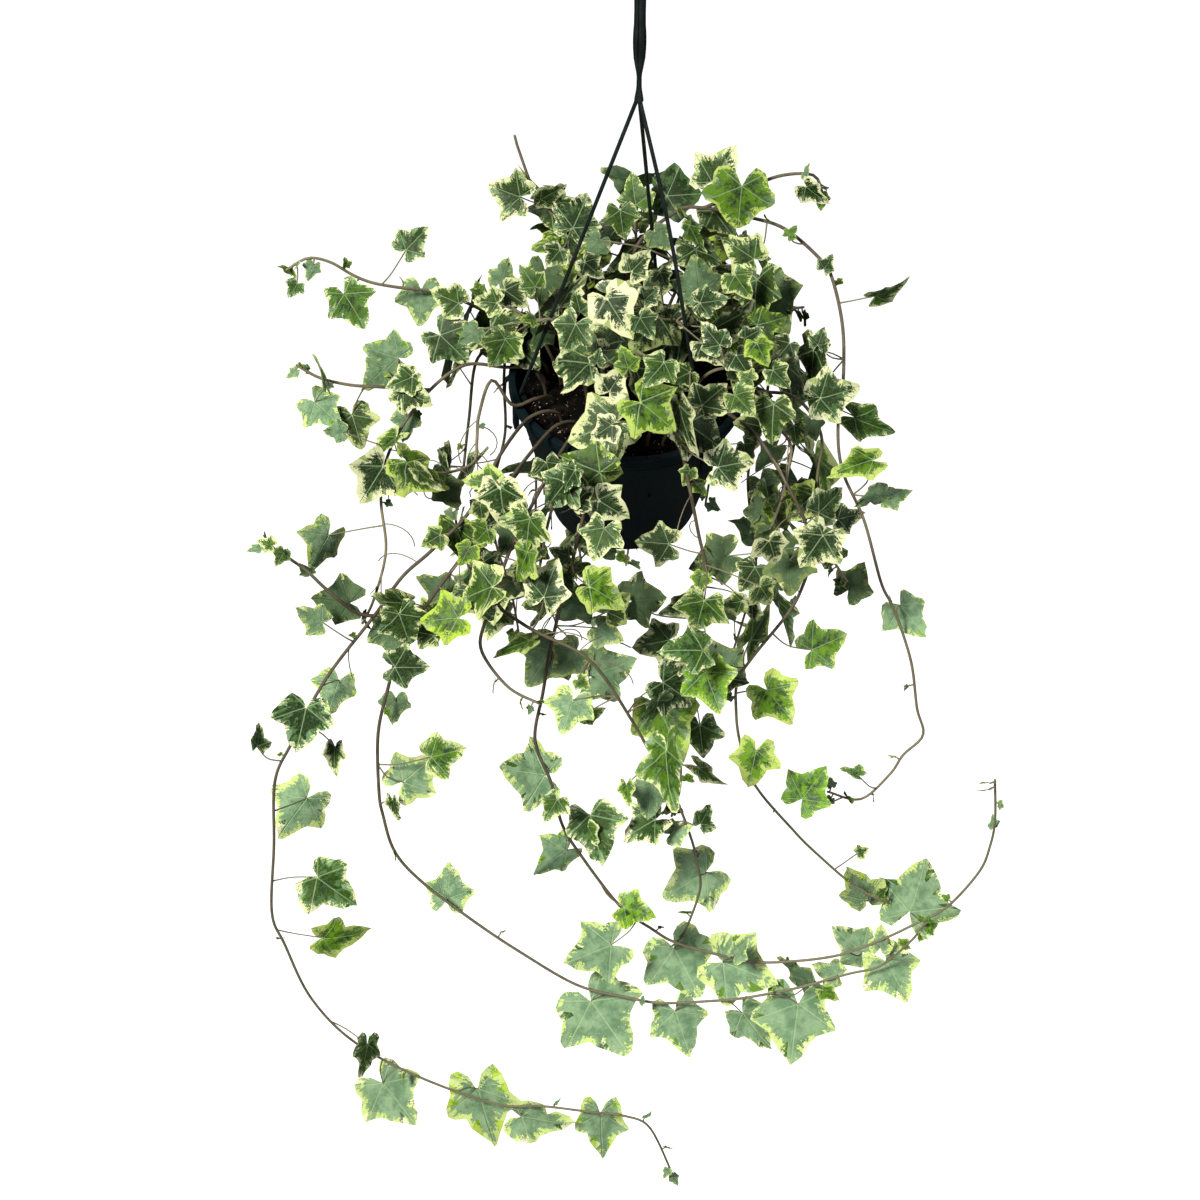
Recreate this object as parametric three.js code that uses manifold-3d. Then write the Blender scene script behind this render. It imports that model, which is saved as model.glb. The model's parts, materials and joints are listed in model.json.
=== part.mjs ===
// A variegated english ivy in a hanging pot, in millimetres, +Z up.
// The origin is where the hook bears on what it hangs from; +X is to the right in the photograph
// and the viewer stands on the -Y side.

import * as THREE from "three";
import { mergeVertices } from "three/addons/utils/BufferGeometryUtils.js";
import Module from "manifold-3d";

const wasm = await Module();
wasm.setup();

// Driving sizes of the pot
const RIM_RADIUS = 82.5;
const LIP_HEIGHT = 6.5;
const COLLAR_HEIGHT = 12;
const POT_HEIGHT = 118;
const BASE_RADIUS = 53;
const WALL = 1.9;
const GAP = 0.3;

// Driving sizes of the hanger and of where the pot hangs under it
const STRAND_RADIUS = 1.3;
const HOOK_ROD_RADIUS = 2.1;
const HOOK_BEND_RADIUS = 11;
const SPLIT_POINT = new THREE.Vector3(0, 0, -113);
const RIM_CENTRE = new THREE.Vector3(-4.5, 22, -345);
const EAR_RADIUS = 73.5;
const EAR_ANGLES = { left: -168, right: -48, back: 72 };
const STRAND_BOWS = { left: 0, right: 5, back: 0 };

// Driving sizes of the ivy
const BLADE_THICKNESS = 0.9;
const STALK_WIDTH = 1.3;
const STEM_RADIUS = 1.5;
const STEM_TIP_RADIUS = 0.9;
const CLEARANCE = 0.4;
const STEM_TURNS = [0, 6, -6, 12, -12, 18, -18, 24, -24];

// Base colours
const PLASTIC = 0x1d2b30;
const SOIL_BROWN = 0x2c1d13;
const LEAF_GREEN = 0x5e7a4a;

// Where the photograph (1200 by 1200 pixels) was taken from
const VIEW = { x: -23.8, y: -1196, z: 573.5, pitch: 42.8, focal: 2200, middle: 600 };

const degrees = THREE.MathUtils.degToRad;
const vector = (x, y, z) => new THREE.Vector3(x, y, z);
const midway = (a, b) => a.clone().lerp(b, 0.5);

// A seeded draw between two values, the same on every run
let seed = 20240;
function draw(low, high) {
  seed = (seed * 16807) % 2147483647;
  return low + ((high - low) * (seed - 1)) / 2147483646;
}

// The point at depth y that the photograph shows at pixel u, v
function seen(u, v, y) {
  const across = (u - VIEW.middle) / VIEW.focal;
  const up = (VIEW.middle - v) / VIEW.focal;
  const sine = Math.sin(degrees(VIEW.pitch));
  const cosine = Math.cos(degrees(VIEW.pitch));
  const reach = (y - VIEW.y) / (cosine + sine * up);
  return vector(VIEW.x + reach * across, y, VIEW.z + reach * (cosine * up - sine));
}

// The pot hangs straight under the split point of its hanger, so it leans with the strands
const potAxis = SPLIT_POINT.clone().sub(RIM_CENTRE).normalize();
const potTurn = new THREE.Quaternion().setFromUnitVectors(vector(0, 0, 1), potAxis);
const inPot = (x, y, z) => vector(x, y, z).applyQuaternion(potTurn).add(RIM_CENTRE);

// Solids from geometries and geometries from solids

function solidOf(geometry) {
  const bare = geometry.clone();
  bare.deleteAttribute("normal");
  bare.deleteAttribute("uv");
  const merged = mergeVertices(bare, 1e-4);
  return new wasm.Manifold(
    new wasm.Mesh({
      numProp: 3,
      vertProperties: merged.attributes.position.array,
      triVerts: new Uint32Array(merged.index.array),
    }),
  );
}

function meshOf(solid, name, colour, roughness) {
  const data = solid.getMesh();
  const geometry = new THREE.BufferGeometry();
  geometry.setAttribute("position", new THREE.BufferAttribute(data.vertProperties, 3));
  geometry.setIndex(new THREE.BufferAttribute(data.triVerts, 1));
  geometry.computeVertexNormals();
  const material = new THREE.MeshStandardMaterial({ color: colour, roughness, metalness: 0 });
  const mesh = new THREE.Mesh(geometry, material);
  mesh.name = name;
  return mesh;
}

function geometryOf(points, faces) {
  const geometry = new THREE.BufferGeometry();
  const flat = points.flatMap((p) => [p.x, p.y, p.z]);
  geometry.setAttribute("position", new THREE.BufferAttribute(new Float32Array(flat), 3));
  geometry.setIndex(faces.flat());
  return geometry;
}

// Plastic rod of an even thickness along a curve
function rod(points, radius, sides, steps) {
  const section = new THREE.Shape();
  for (let i = 0; i < sides; i++) {
    const turn = (2 * Math.PI * i) / sides;
    const [x, y] = [radius * Math.cos(turn), radius * Math.sin(turn)];
    if (i === 0) section.moveTo(x, y);
    else section.lineTo(x, y);
  }
  const extrudePath = new THREE.CatmullRomCurve3(points);
  return new THREE.ExtrudeGeometry(section, { steps, extrudePath, bevelEnabled: false });
}

// Pot

function makePot(feet) {
  const inner = BASE_RADIUS - WALL;
  const collar = RIM_RADIUS - WALL;
  const body = RIM_RADIUS - 5.1;
  const profile = [
    [0, -POT_HEIGHT],
    [BASE_RADIUS, -POT_HEIGHT],
    [body, -COLLAR_HEIGHT],
    [collar, -COLLAR_HEIGHT],
    [collar, -LIP_HEIGHT],
    [RIM_RADIUS, -LIP_HEIGHT],
    [RIM_RADIUS, 0],
    [body, 0],
    [body - WALL, -COLLAR_HEIGHT],
    [inner, WALL - POT_HEIGHT],
    [0, WALL - POT_HEIGHT],
  ];
  const outline = profile.map(([r, z]) => new THREE.Vector2(r, z));
  let pot = solidOf(new THREE.LatheGeometry(outline, 36).rotateX(Math.PI / 2));
  for (const angle of Object.values(EAR_ANGLES)) {
    pot = pot.add(earArch(angle)).add(earSkirt(angle));
  }
  for (let i = 0; i < 5; i++) {
    const hole = new THREE.CylinderGeometry(4, 4, 4 * WALL, 8).rotateX(Math.PI / 2);
    hole.translate(38, 0, -POT_HEIGHT).rotateZ(degrees(72 * i + 20));
    pot = pot.subtract(solidOf(hole));
  }
  for (const foot of feet) pot = pot.subtract(foot);
  return pot;
}

// The arch inside the rim that a strand's foot plugs into
function earArch(angle) {
  const [half, low, high, depth] = [6, -8, 4, 6.4];
  const arch = new THREE.Shape();
  arch.moveTo(-half, low);
  arch.lineTo(-half + 3, low);
  arch.lineTo(-half + 3, low + 4);
  arch.lineTo(half - 3, low + 4);
  arch.lineTo(half - 3, low);
  arch.lineTo(half, low);
  arch.lineTo(half, high - 3);
  arch.lineTo(half - 2.5, high);
  arch.lineTo(2.5 - half, high);
  arch.lineTo(-half, high - 3);
  const block = new THREE.ExtrudeGeometry(arch, { depth, bevelEnabled: false });
  block.rotateX(Math.PI / 2).rotateZ(Math.PI / 2);
  block.translate(EAR_RADIUS - depth / 2 + 1.6, 0, 0).rotateZ(degrees(angle));
  return solidOf(block);
}

// The skirt that stands below the collar outside each ear
function earSkirt(angle) {
  const [thick, wide, tall] = [2.4, 7, 21];
  const skirt = new THREE.BoxGeometry(thick, wide, tall);
  skirt.translate(RIM_RADIUS - WALL - thick / 2, 0, 1 - COLLAR_HEIGHT - tall / 2);
  return solidOf(skirt.rotateZ(degrees(angle)));
}

// Soil

const SOIL_DROP = 9;

function makeSoil(holes) {
  const body = RIM_RADIUS - 5.1 - WALL - GAP;
  const slope = (RIM_RADIUS - 5.1 - BASE_RADIUS) / (POT_HEIGHT - COLLAR_HEIGHT);
  const edge = body - slope * 1;
  const outline = [
    [0, WALL + GAP - POT_HEIGHT],
    [BASE_RADIUS - WALL - GAP, WALL + GAP - POT_HEIGHT],
    [edge, -COLLAR_HEIGHT - 1],
    [edge - 6, -SOIL_DROP - 1],
    [0, 2 - SOIL_DROP],
  ].map(([r, z]) => new THREE.Vector2(r, z));
  let soil = solidOf(new THREE.LatheGeometry(outline, 24).rotateX(Math.PI / 2));
  for (const hole of holes) soil = soil.subtract(hole);
  return soil;
}

// The straight hole that a stem stands in, from its buried end to above the soil
function soilHole(x, y) {
  const [low, high] = [-SOIL_DROP - 23.5, -SOIL_DROP + 6];
  const width = 1.42 * (STEM_RADIUS + CLEARANCE);
  const hole = new THREE.CylinderGeometry(width, width, high - low, 4).rotateX(Math.PI / 2);
  return solidOf(hole.translate(x, y, (low + high) / 2));
}

// Hanger

function makeHook() {
  const shank = [
    [0, -118.2],
    [2.9, -118.2],
    [2.4, -113],
    [1.7, -108],
    [1.6, -101],
    [2.8, -91],
    [2.8, -42],
    [0, -42],
  ].map(([r, z]) => new THREE.Vector2(r, z));
  let hook = solidOf(new THREE.LatheGeometry(shank, 12).rotateX(Math.PI / 2));
  for (let i = 0; i < 3; i++) {
    const fin = new THREE.Shape();
    fin.moveTo(-1.5, -100);
    fin.lineTo(1.5, -100);
    fin.lineTo(3.6, -88);
    fin.lineTo(4.1, -77);
    fin.lineTo(3.6, -66);
    fin.lineTo(3.6, -48);
    fin.lineTo(2, -42);
    fin.lineTo(-2, -42);
    fin.lineTo(-3.6, -48);
    fin.lineTo(-3.6, -66);
    fin.lineTo(-4.1, -77);
    fin.lineTo(-3.6, -88);
    const rib = new THREE.ExtrudeGeometry(fin, { depth: 1.2, bevelEnabled: false });
    rib.translate(0, 0, -0.6).rotateX(Math.PI / 2).rotateZ(degrees(60 * i));
    hook = hook.add(solidOf(rib));
  }
  const middle = HOOK_ROD_RADIUS - HOOK_BEND_RADIUS;
  const bend = [vector(0, 0, -44), vector(0, 0, -36), vector(2.2, 0, -28)];
  for (let turn = -55; turn <= 215; turn += 30) {
    const [x, z] = [Math.cos(degrees(turn)), Math.sin(degrees(turn))];
    bend.push(vector(HOOK_BEND_RADIUS * x, 0, middle + HOOK_BEND_RADIUS * z));
  }
  return hook.add(solidOf(rod(bend, HOOK_ROD_RADIUS, 7, 14)));
}

// A strand runs from under the hub to its foot in the arch; the right one bows outwards
function strandPath(angle, bow) {
  const out = vector(Math.cos(degrees(angle)), Math.sin(degrees(angle)), 0);
  const ear = inPot(EAR_RADIUS * out.x, EAR_RADIUS * out.y, 4);
  const run = ear.clone().sub(SPLIT_POINT);
  const along = (share) => SPLIT_POINT.clone().addScaledVector(run, share);
  const middle = along(0.35).addScaledVector(out, bow);
  const lower = along(0.7).addScaledVector(out, bow * 0.6);
  return [along(0.0265), middle, lower, ear, along(1.03)];
}

// Leaves

// Half of an ivy blade's outline, as shares of its length: the stalk joins at 0,0 and the tip is at 0,1
const FIVE_LOBES = [
  [0.4, -0.34],
  [0.47, 0.0],
  [0.72, 0.34],
  [0.37, 0.47],
];
const THREE_LOBES = [
  [0.35, -0.24],
  [0.6, 0.26],
  [0.3, 0.44],
];
const SMALL_BLADE = 22;

// The blade lies in a shallow valley along its midrib and droops towards its tip
const bladeLift = (x, y) => 0.12 * Math.abs(x) - 0.2 * y * Math.abs(y);

// A blade with its stalk as one closed body. place: base, side, tipward and face directions,
// length. node: where the stalk ends on the stem, or null for the blade alone. slide: how far
// in along its underside the stalk meets the blade
function leafGeometry(place, node, slide, extra) {
  const { base, side, tipward, face, length } = place;
  const half = length < SMALL_BLADE ? THREE_LOBES : FIVE_LOBES;
  const thick = BLADE_THICKNESS / 2 + extra;
  const grow = 1 + (2 * extra) / length;
  const at = (x, y, lift) =>
    base
      .clone()
      .addScaledVector(side, x * length * grow)
      .addScaledVector(tipward, y * length * grow)
      .addScaledVector(face, bladeLift(x, y) * length + lift);
  const right = [...half, [0, 1]];
  const left = half.map(([x, y]) => [-x, y]).reverse();
  const rim = [...right, ...left];
  const count = rim.length;
  const points = [
    ...rim.map(([x, y]) => at(x, y, thick)),
    ...rim.map(([x, y]) => at(x, y, -thick)),
  ];
  const [jointRight, jointLeft, jointBelow] = [2 * count, 2 * count + 1, 2 * count + 2];
  const stalkHalf = STALK_WIDTH / 2 + extra;
  points.push(base.clone().addScaledVector(side, stalkHalf).addScaledVector(face, thick));
  points.push(base.clone().addScaledVector(side, -stalkHalf).addScaledVector(face, thick));
  points.push(at(0, slide / length, -thick));
  const tip = half.length;
  const faces = [[jointLeft, jointRight, tip]];
  for (let i = 0; i < count - 1; i++) {
    faces.push([i < tip ? jointRight : jointLeft, i, i + 1]);
    faces.push([jointBelow, count + i + 1, count + i]);
    faces.push([count + i, count + i + 1, i + 1], [count + i, i + 1, i]);
  }
  faces.push([jointBelow, count, 0], [jointBelow, 0, jointRight]);
  faces.push([2 * count - 1, jointBelow, jointLeft], [2 * count - 1, jointLeft, count - 1]);
  const ring = [jointRight, jointLeft, jointBelow];
  if (node === null) return geometryOf(points, [...faces, ring]);
  const run = node.clone().sub(base).normalize();
  const across = side.clone().addScaledVector(run, -side.dot(run)).normalize();
  const below = across.clone().cross(run);
  const end = [points.length, points.length + 1, points.length + 2];
  points.push(node.clone().addScaledVector(across, stalkHalf).addScaledVector(below, -thick));
  points.push(node.clone().addScaledVector(across, -stalkHalf).addScaledVector(below, -thick));
  points.push(node.clone().addScaledVector(below, thick));
  for (let i = 0; i < 3; i++) {
    const j = (i + 1) % 3;
    faces.push([ring[i], ring[j], end[j]], [ring[i], end[j], end[i]]);
  }
  return geometryOf(points, [...faces, end]);
}

// How far in the stalk meets the blade: at the edge, or further in where the stem lies behind
// the blade. None where the stem lies before the blade or too near to it
const STALK_SLIDES = [0, 1.6];
const SHORTEST_STALK = 4;

function stalkSlide({ base, tipward, face }, node) {
  const run = node.clone().sub(base);
  if (run.length() < SHORTEST_STALK) return undefined;
  run.normalize();
  return STALK_SLIDES.find((slide) => {
    const back = tipward.clone().multiplyScalar(-BLADE_THICKNESS).addScaledVector(face, -slide);
    return back.normalize().dot(run) > 0.3;
  });
}

// A leaf that the photograph shows: its stalk end and tip in pixels, and its turn about the midrib
function placeSeen([baseU, baseV, tipU, tipV, turn = 0], depth, tilt) {
  const base = seen(baseU, baseV, depth);
  const towards = vector(VIEW.x, VIEW.y, VIEW.z).sub(base).normalize();
  const ray = seen(tipU, tipV, depth).sub(vector(VIEW.x, VIEW.y, VIEW.z));
  const reach = towards.dot(base.clone().sub(vector(VIEW.x, VIEW.y, VIEW.z))) / towards.dot(ray);
  const tip = vector(VIEW.x, VIEW.y, VIEW.z).addScaledVector(ray, reach);
  const flat = tip.clone().sub(base);
  const side = flat.clone().cross(towards).normalize();
  const tipward = flat.clone().normalize().applyAxisAngle(side, degrees(tilt.pitch));
  const face = side.clone().cross(tipward).applyAxisAngle(tipward, degrees(turn + tilt.sway));
  return {
    base,
    tipward,
    face,
    side: tipward.clone().cross(face),
    length: flat.length() / Math.cos(degrees(tilt.pitch)),
  };
}

// Stems

// A stem or stalk: three-sided, tapering, its end drawn to a point
function limbGeometry(path, thick, thin, extra) {
  const points = [];
  const faces = [];
  let across = vector(1, 0, 0);
  for (let k = 0; k < path.length - 1; k++) {
    const before = path[Math.max(k - 1, 0)];
    const run = path[k + 1].clone().sub(before).normalize();
    across = across.clone().addScaledVector(run, -across.dot(run)).normalize();
    const other = run.clone().cross(across);
    const radius = thick + ((thin - thick) * k) / (path.length - 1) + extra;
    for (let i = 0; i < 3; i++) {
      const turn = (2 * Math.PI * i) / 3;
      const edge = across.clone().multiplyScalar(Math.cos(turn) * radius);
      points.push(edge.addScaledVector(other, Math.sin(turn) * radius).add(path[k]));
    }
  }
  const last = points.length;
  points.push(path[path.length - 1].clone());
  faces.push([2, 1, 0]);
  for (let k = 0; k < last - 3; k += 3) {
    for (let i = 0; i < 3; i++) {
      const j = (i + 1) % 3;
      faces.push([k + i, k + j, k + 3 + j], [k + i, k + 3 + j, k + 3 + i]);
    }
  }
  for (let i = 0; i < 3; i++) faces.push([last - 3 + i, last - 3 + ((i + 1) % 3), last]);
  return geometryOf(points, faces);
}

// A stem reaches a little past its last point, so that a leaf can stand there
function stemGeometry(path, extra) {
  const [before, last] = path.slice(-2);
  const end = last.clone().sub(before).setLength(1.5).add(last);
  return limbGeometry([...path, end], STEM_RADIUS, STEM_TIP_RADIUS, extra);
}

// A rooted stem's path: its buried end, the soil, then the points it passes. root is [x, y] in the pot
function rootedPath([x, y], points) {
  return [inPot(x, y, -SOIL_DROP - 22), inPot(x, y, 3 - SOIL_DROP), ...points];
}

// The points by which a stem leaves the pot over its rim at an angle
function overRim(angle) {
  const [x, y] = [Math.cos(degrees(angle)), Math.sin(degrees(angle))];
  return [inPot(69 * x, 69 * y, 5), inPot(86 * x, 86 * y, 5)];
}

// Vines that the photograph shows. over: the angle at which the stem crosses the rim;
// route: pixel across, pixel down and depth in mm; branches leave the route at a numbered point;
// leaves: stalk end and tip in pixels, and the turn about the midrib (180 shows the underside)
const VINES = [
  {
    name: "vine_far_left",
    root: [-46, -34],
    over: -144,
    route: [
      [500, 455, -75], [469, 512, -105], [431, 551, -120], [402, 577, -128], [374, 616, -135],
      [334, 667, -145], [311, 704, -150], [291, 744, -152], [275, 781, -153], [274, 845, -152],
      [272, 913, -152], [285, 945, -153], [311, 998, -156], [353, 1041, -160], [417, 1076, -165],
      [496, 1104, -170], [541, 1106, -174], [591, 1112, -178], [625, 1116, -180], [650, 1128, -181],
      [672, 1173, -181],
    ],
    branches: [
      { from: 4, route: [[355, 612, -138], [326, 589, -140], [303, 568, -141], [262, 541, -142]] },
    ],
    leaves: [
      [306, 707, 296, 755], [339, 680, 326, 716, 180], [394, 622, 402, 662, 180],
      [350, 603, 312, 597, 180], [322, 622, 294, 608, 180], [307, 798, 277, 836, 180],
      [317, 877, 357, 908], [323, 938, 373, 936, 35], [367, 1044, 365, 1078, -40],
      [383, 1083, 417, 1124, 180], [478, 1089, 492, 1149, 145], [521, 1117, 576, 1130, 140],
      [601, 1113, 600, 1159, 150], [335, 747, 332, 778, 62],
    ],
  },
  {
    name: "vine_left",
    root: [-34, -42],
    over: -131,
    route: [
      [510, 480, -85], [470, 545, -120], [430, 600, -140], [400, 650, -150], [387, 692, -155],
      [378, 735, -160], [379, 791, -164], [383, 815, -165], [395, 852, -168], [422, 882, -171],
      [472, 920, -175], [520, 952, -180], [577, 985, -182], [625, 997, -185], [661, 1003, -187],
      [711, 1001, -188], [744, 998, -188], [797, 988, -187], [848, 974, -185], [880, 966, -183],
      [910, 942, -181], [925, 924, -180],
    ],
    branches: [],
    leaves: [
      [395, 667, 430, 668], [396, 698, 392, 725, 180], [403, 782, 437, 752, 180],
      [431, 757, 468, 748], [447, 899, 452, 862, 180], [591, 1001, 628, 1055, 180],
      [675, 1011, 690, 1056, 180], [742, 1013, 768, 1051, 150], [798, 1004, 790, 1066, 180],
      [808, 985, 783, 952, 120], [838, 975, 812, 965, 180], [886, 961, 908, 1002, 180],
      [458, 618, 418, 621], [445, 592, 417, 575, 180], [494, 483, 461, 478],
      [472, 590, 492, 622, 40],
    ],
  },
  {
    name: "vine_right_sweep",
    root: [-12, -52],
    over: -103,
    route: [
      [590, 490, -98], [575, 550, -118], [562, 600, -126], [550, 650, -132], [543, 692, -140],
      [535, 740, -148], [551, 782, -154], [562, 824, -158], [580, 854, -160], [620, 906, -163],
      [652, 929, -165], [674, 942, -166], [711, 953, -167], [754, 962, -168], [797, 961, -167],
      [835, 956, -166], [861, 948, -165], [888, 937, -163], [915, 924, -160], [947, 907, -157],
      [979, 872, -152], [990, 846, -150], [995, 820, -148], [995, 781, -146],
    ],
    branches: [],
    leaves: [
      [545, 775, 497, 770, 180], [590, 815, 604, 866], [557, 799, 544, 823],
      [566, 850, 531, 872, 160], [552, 650, 527, 685, 180], [576, 652, 553, 677, 180],
      [600, 472, 558, 456], [603, 470, 618, 445], [575, 492, 612, 484, 180], [598, 500, 631, 521],
      [604, 528, 592, 561], [562, 573, 543, 600], [583, 600, 556, 620, 180], [607, 612, 632, 592],
      [598, 628, 625, 642, 180], [611, 945, 564, 965, 180], [674, 948, 700, 998, 180],
      [723, 962, 778, 985, 180], [862, 952, 833, 927, 180], [910, 912, 929, 859, 180],
      [624, 908, 656, 916, -20],
    ],
  },
  {
    name: "vine_centre",
    root: [-24, -48],
    over: -120,
    route: [
      [540, 490, -92], [510, 550, -120], [497, 600, -136], [520, 622, -152], [545, 636, -160],
      [577, 651, -164], [602, 674, -164], [631, 719, -160], [646, 745, -158], [662, 776, -156],
      [677, 801, -154], [692, 841, -150], [697, 864, -148], [700, 889, -146], [687, 927, -143],
      [679, 940, -142],
    ],
    branches: [
      { from: 2, route: [[484, 625, -134], [482, 652, -138], [508, 687, -146], [538, 703, -152]] },
    ],
    leaves: [
      [573, 700, 562, 733, 180], [592, 676, 638, 659, 180], [652, 784, 647, 819, 180],
      [655, 820, 622, 838, 20], [667, 750, 667, 812, 66], [706, 872, 665, 898, 180],
      [530, 641, 490, 652, 62], [515, 528, 500, 557, 180], [520, 582, 490, 592, 150],
    ],
  },
  {
    name: "vine_front_left",
    root: [-18, -60],
    over: -112,
    route: [[562, 480, -90], [549, 520, -102], [541, 560, -110], [536, 592, -116]],
    branches: [],
    leaves: [
      [527, 513, 507, 547], [546, 462, 556, 491],
    ],
  },
  {
    name: "vine_front",
    root: [24, -56],
    over: -66,
    route: [
      [690, 490, -88], [699, 536, -96], [706, 570, -101], [700, 603, -105], [692, 635, -108],
      [692, 670, -112], [690, 700, -116], [682, 740, -120], [680, 789, -124], [672, 815, -127],
    ],
    branches: [],
    leaves: [
      [669, 544, 636, 541], [669, 640, 633, 648], [658, 706, 683, 760], [632, 601, 668, 596, 180],
      [700, 725, 703, 760], [706, 668, 690, 691], [698, 767, 724, 790, 55],
    ],
  },
  {
    name: "vine_right_low",
    root: [43, -45],
    over: -32,
    route: [
      [760, 440, -58], [790, 490, -82], [808, 530, -92], [810, 559, -96], [803, 585, -99],
      [789, 612, -103], [755, 654, -110], [738, 680, -114], [736, 708, -118], [740, 742, -122],
      [755, 785, -126], [794, 831, -130], [816, 853, -132], [853, 885, -136], [880, 900, -139],
    ],
    branches: [],
    leaves: [
      [755, 567, 738, 593], [790, 560, 791, 597, 180], [728, 556, 690, 570, 180],
      [767, 690, 794, 723], [756, 750, 749, 788], [812, 650, 847, 634], [750, 640, 780, 599, 55],
      [866, 900, 848, 864, 150], [705, 672, 720, 712], [726, 672, 706, 640, 180],
    ],
  },
  {
    name: "vine_right",
    root: [24, 40],
    rise: [2, 52, 62],
    route: [
      [674, 213, 85], [704, 208, 85], [748, 217, 78], [785, 229, 65], [821, 260, 45],
      [833, 281, 32], [843, 330, 5], [843, 388, -22], [838, 430, -38], [843, 472, -52],
      [864, 520, -66], [881, 582, -80], [891, 603, -85], [902, 631, -90], [912, 666, -95],
      [917, 708, -100], [923, 735, -103], [903, 755, -107], [890, 774, -110], [861, 799, -116],
      [829, 792, -121],
    ],
    branches: [
      { from: 1, route: [[740, 192, 84], [779, 176, 80], [813, 175, 76], [822, 192, 74]] },
    ],
    leaves: [
      [802, 799, 827, 766], [900, 605, 925, 639, 180], [882, 494, 852, 503, 120],
      [886, 497, 913, 493, 120], [873, 461, 826, 471, 68], [855, 417, 892, 438, 60],
      [876, 296, 915, 282, 60], [820, 398, 861, 389, 30], [815, 350, 806, 398, 50],
      [806, 186, 828, 207, 40], [742, 186, 737, 230], [712, 182, 736, 145], [754, 259, 721, 237],
    ],
  },
  {
    name: "vine_right_inner",
    root: [58, -14],
    over: -12,
    route: [
      [790, 395, -15], [812, 415, -25], [822, 440, -38], [818, 470, -50], [815, 500, -60],
      [812, 522, -68], [828, 552, -76], [846, 580, -82],
    ],
    branches: [],
    leaves: [
      [813, 495, 785, 521], [834, 545, 800, 550], [838, 519, 866, 513], [848, 590, 866, 563, 150],
    ],
  },
  {
    name: "vine_right_mass",
    root: [54, -30],
    over: -23,
    route: [[778, 428, -52], [791, 446, -62], [788, 471, -70], [782, 499, -76], [770, 530, -82]],
    branches: [],
    leaves: [
      [776, 447, 752, 468, 150], [775, 525, 765, 500, 180], [760, 515, 757, 489, 180],
      [780, 540, 792, 566, 180],
    ],
  },
  {
    name: "vine_left_shoot",
    root: [-58, 4],
    over: 178,
    route: [
      [465, 365, 20], [430, 390, 8], [400, 430, -20], [385, 465, -45], [381, 501, -62],
      [386, 551, -80], [374, 599, -95], [363, 622, -102],
    ],
    branches: [
      { from: 1, route: [[408, 389, 4], [380, 387, 0], [350, 385, -4], [320, 378, -6], [298, 366, -6]] },
    ],
    leaves: [
      [412, 377, 386, 388],
      [329, 535, 305, 571, 150], [315, 402, 340, 427, 180], [352, 415, 362, 448],
      [325, 385, 319, 352, 68], [408, 415, 402, 443, 180], [396, 437, 365, 463, 50],
      [383, 466, 360, 505], [398, 358, 365, 345, 150], [385, 368, 360, 390, 180],
      [403, 391, 432, 404],
    ],
  },
  {
    name: "vine_top_left",
    root: [-46, 28],
    over: 152,
    route: [
      [478, 308, 58], [440, 293, 54], [396, 287, 46], [370, 282, 42], [351, 274, 40],
      [330, 262, 38], [308, 258, 35], [288, 269, 33],
    ],
    branches: [],
    leaves: [
      [406, 250, 428, 226], [344, 294, 366, 327], [421, 290, 421, 326, 180], [459, 303, 427, 290],
      [440, 335, 469, 363],
    ],
  },
  {
    name: "vine_top",
    root: [-20, 44],
    rise: [-26, 62, 55],
    route: [[552, 214, 110], [535, 193, 112], [519, 151, 112], [515, 137, 111]],
    branches: [],
    leaves: [
      [520, 197, 487, 185], [540, 199, 568, 188, 62],
    ],
  },
  {
    name: "vine_left_drop",
    root: [-52, -16],
    over: -156,
    route: [
      [492, 380, -12], [479, 415, -32], [477, 440, -45], [474, 462, -55], [450, 472, -68],
      [420, 474, -80], [398, 478, -88],
    ],
    branches: [],
    leaves: [
      [418, 470, 441, 495, 50], [406, 462, 442, 496, 62], [445, 485, 460, 511, 180],
    ],
  },
];

// The dome of leaves over the pot: its middle and half-widths
const DOME = { centre: vector(0, 42, -352), half: vector(150, 150, 112) };

// Leaves of the dome that the photograph shows, as above
const CROWN_LEAVES = [
  [607, 298, 631, 339], [573, 228, 589, 192], [505, 339, 491, 370], [576, 324, 560, 355],
  [609, 392, 626, 365], [620, 210, 624, 242], [667, 196, 702, 193], [636, 205, 630, 172],
  [631, 272, 652, 250], [700, 303, 730, 299], [664, 362, 643, 389], [702, 406, 728, 381],
  [774, 404, 770, 446], [718, 467, 756, 460], [640, 402, 678, 433], [505, 290, 529, 308],
  [500, 283, 510, 256, 180], [712, 328, 759, 309, 55], [765, 290, 791, 336, 180],
  [757, 325, 789, 317], [703, 343, 723, 368], [736, 355, 751, 379], [757, 343, 768, 369],
  [773, 370, 791, 389], [735, 395, 756, 417], [680, 405, 690, 460, 66], [700, 292, 694, 254, 180],
  [545, 270, 540, 306, 180], [535, 287, 520, 264], [612, 425, 588, 440], [545, 330, 530, 352, 180],
  [690, 225, 702, 255, 60], [640, 318, 655, 340], [585, 262, 604, 280], [735, 275, 752, 300],
  [600, 240, 585, 262, 180], [720, 345, 700, 322],
];

// Stems by rule: crown stems arch from the soil to the dome, back stems hang over the rim

const CROWN_STEMS = 17;
const CROWN_SPREAD = 62;
const CROWN_POINTS = 5;
const BACK_STEMS = [
  { angle: 18, hang: 215 }, { angle: 37, hang: 330 }, { angle: 55, hang: 190 },
  { angle: 88, hang: 265 }, { angle: 105, hang: 385 }, { angle: 124, hang: 235 },
  { angle: 140, hang: 310 }, { angle: 166, hang: 200 },
];
const BACK_STEP = 48;

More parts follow.
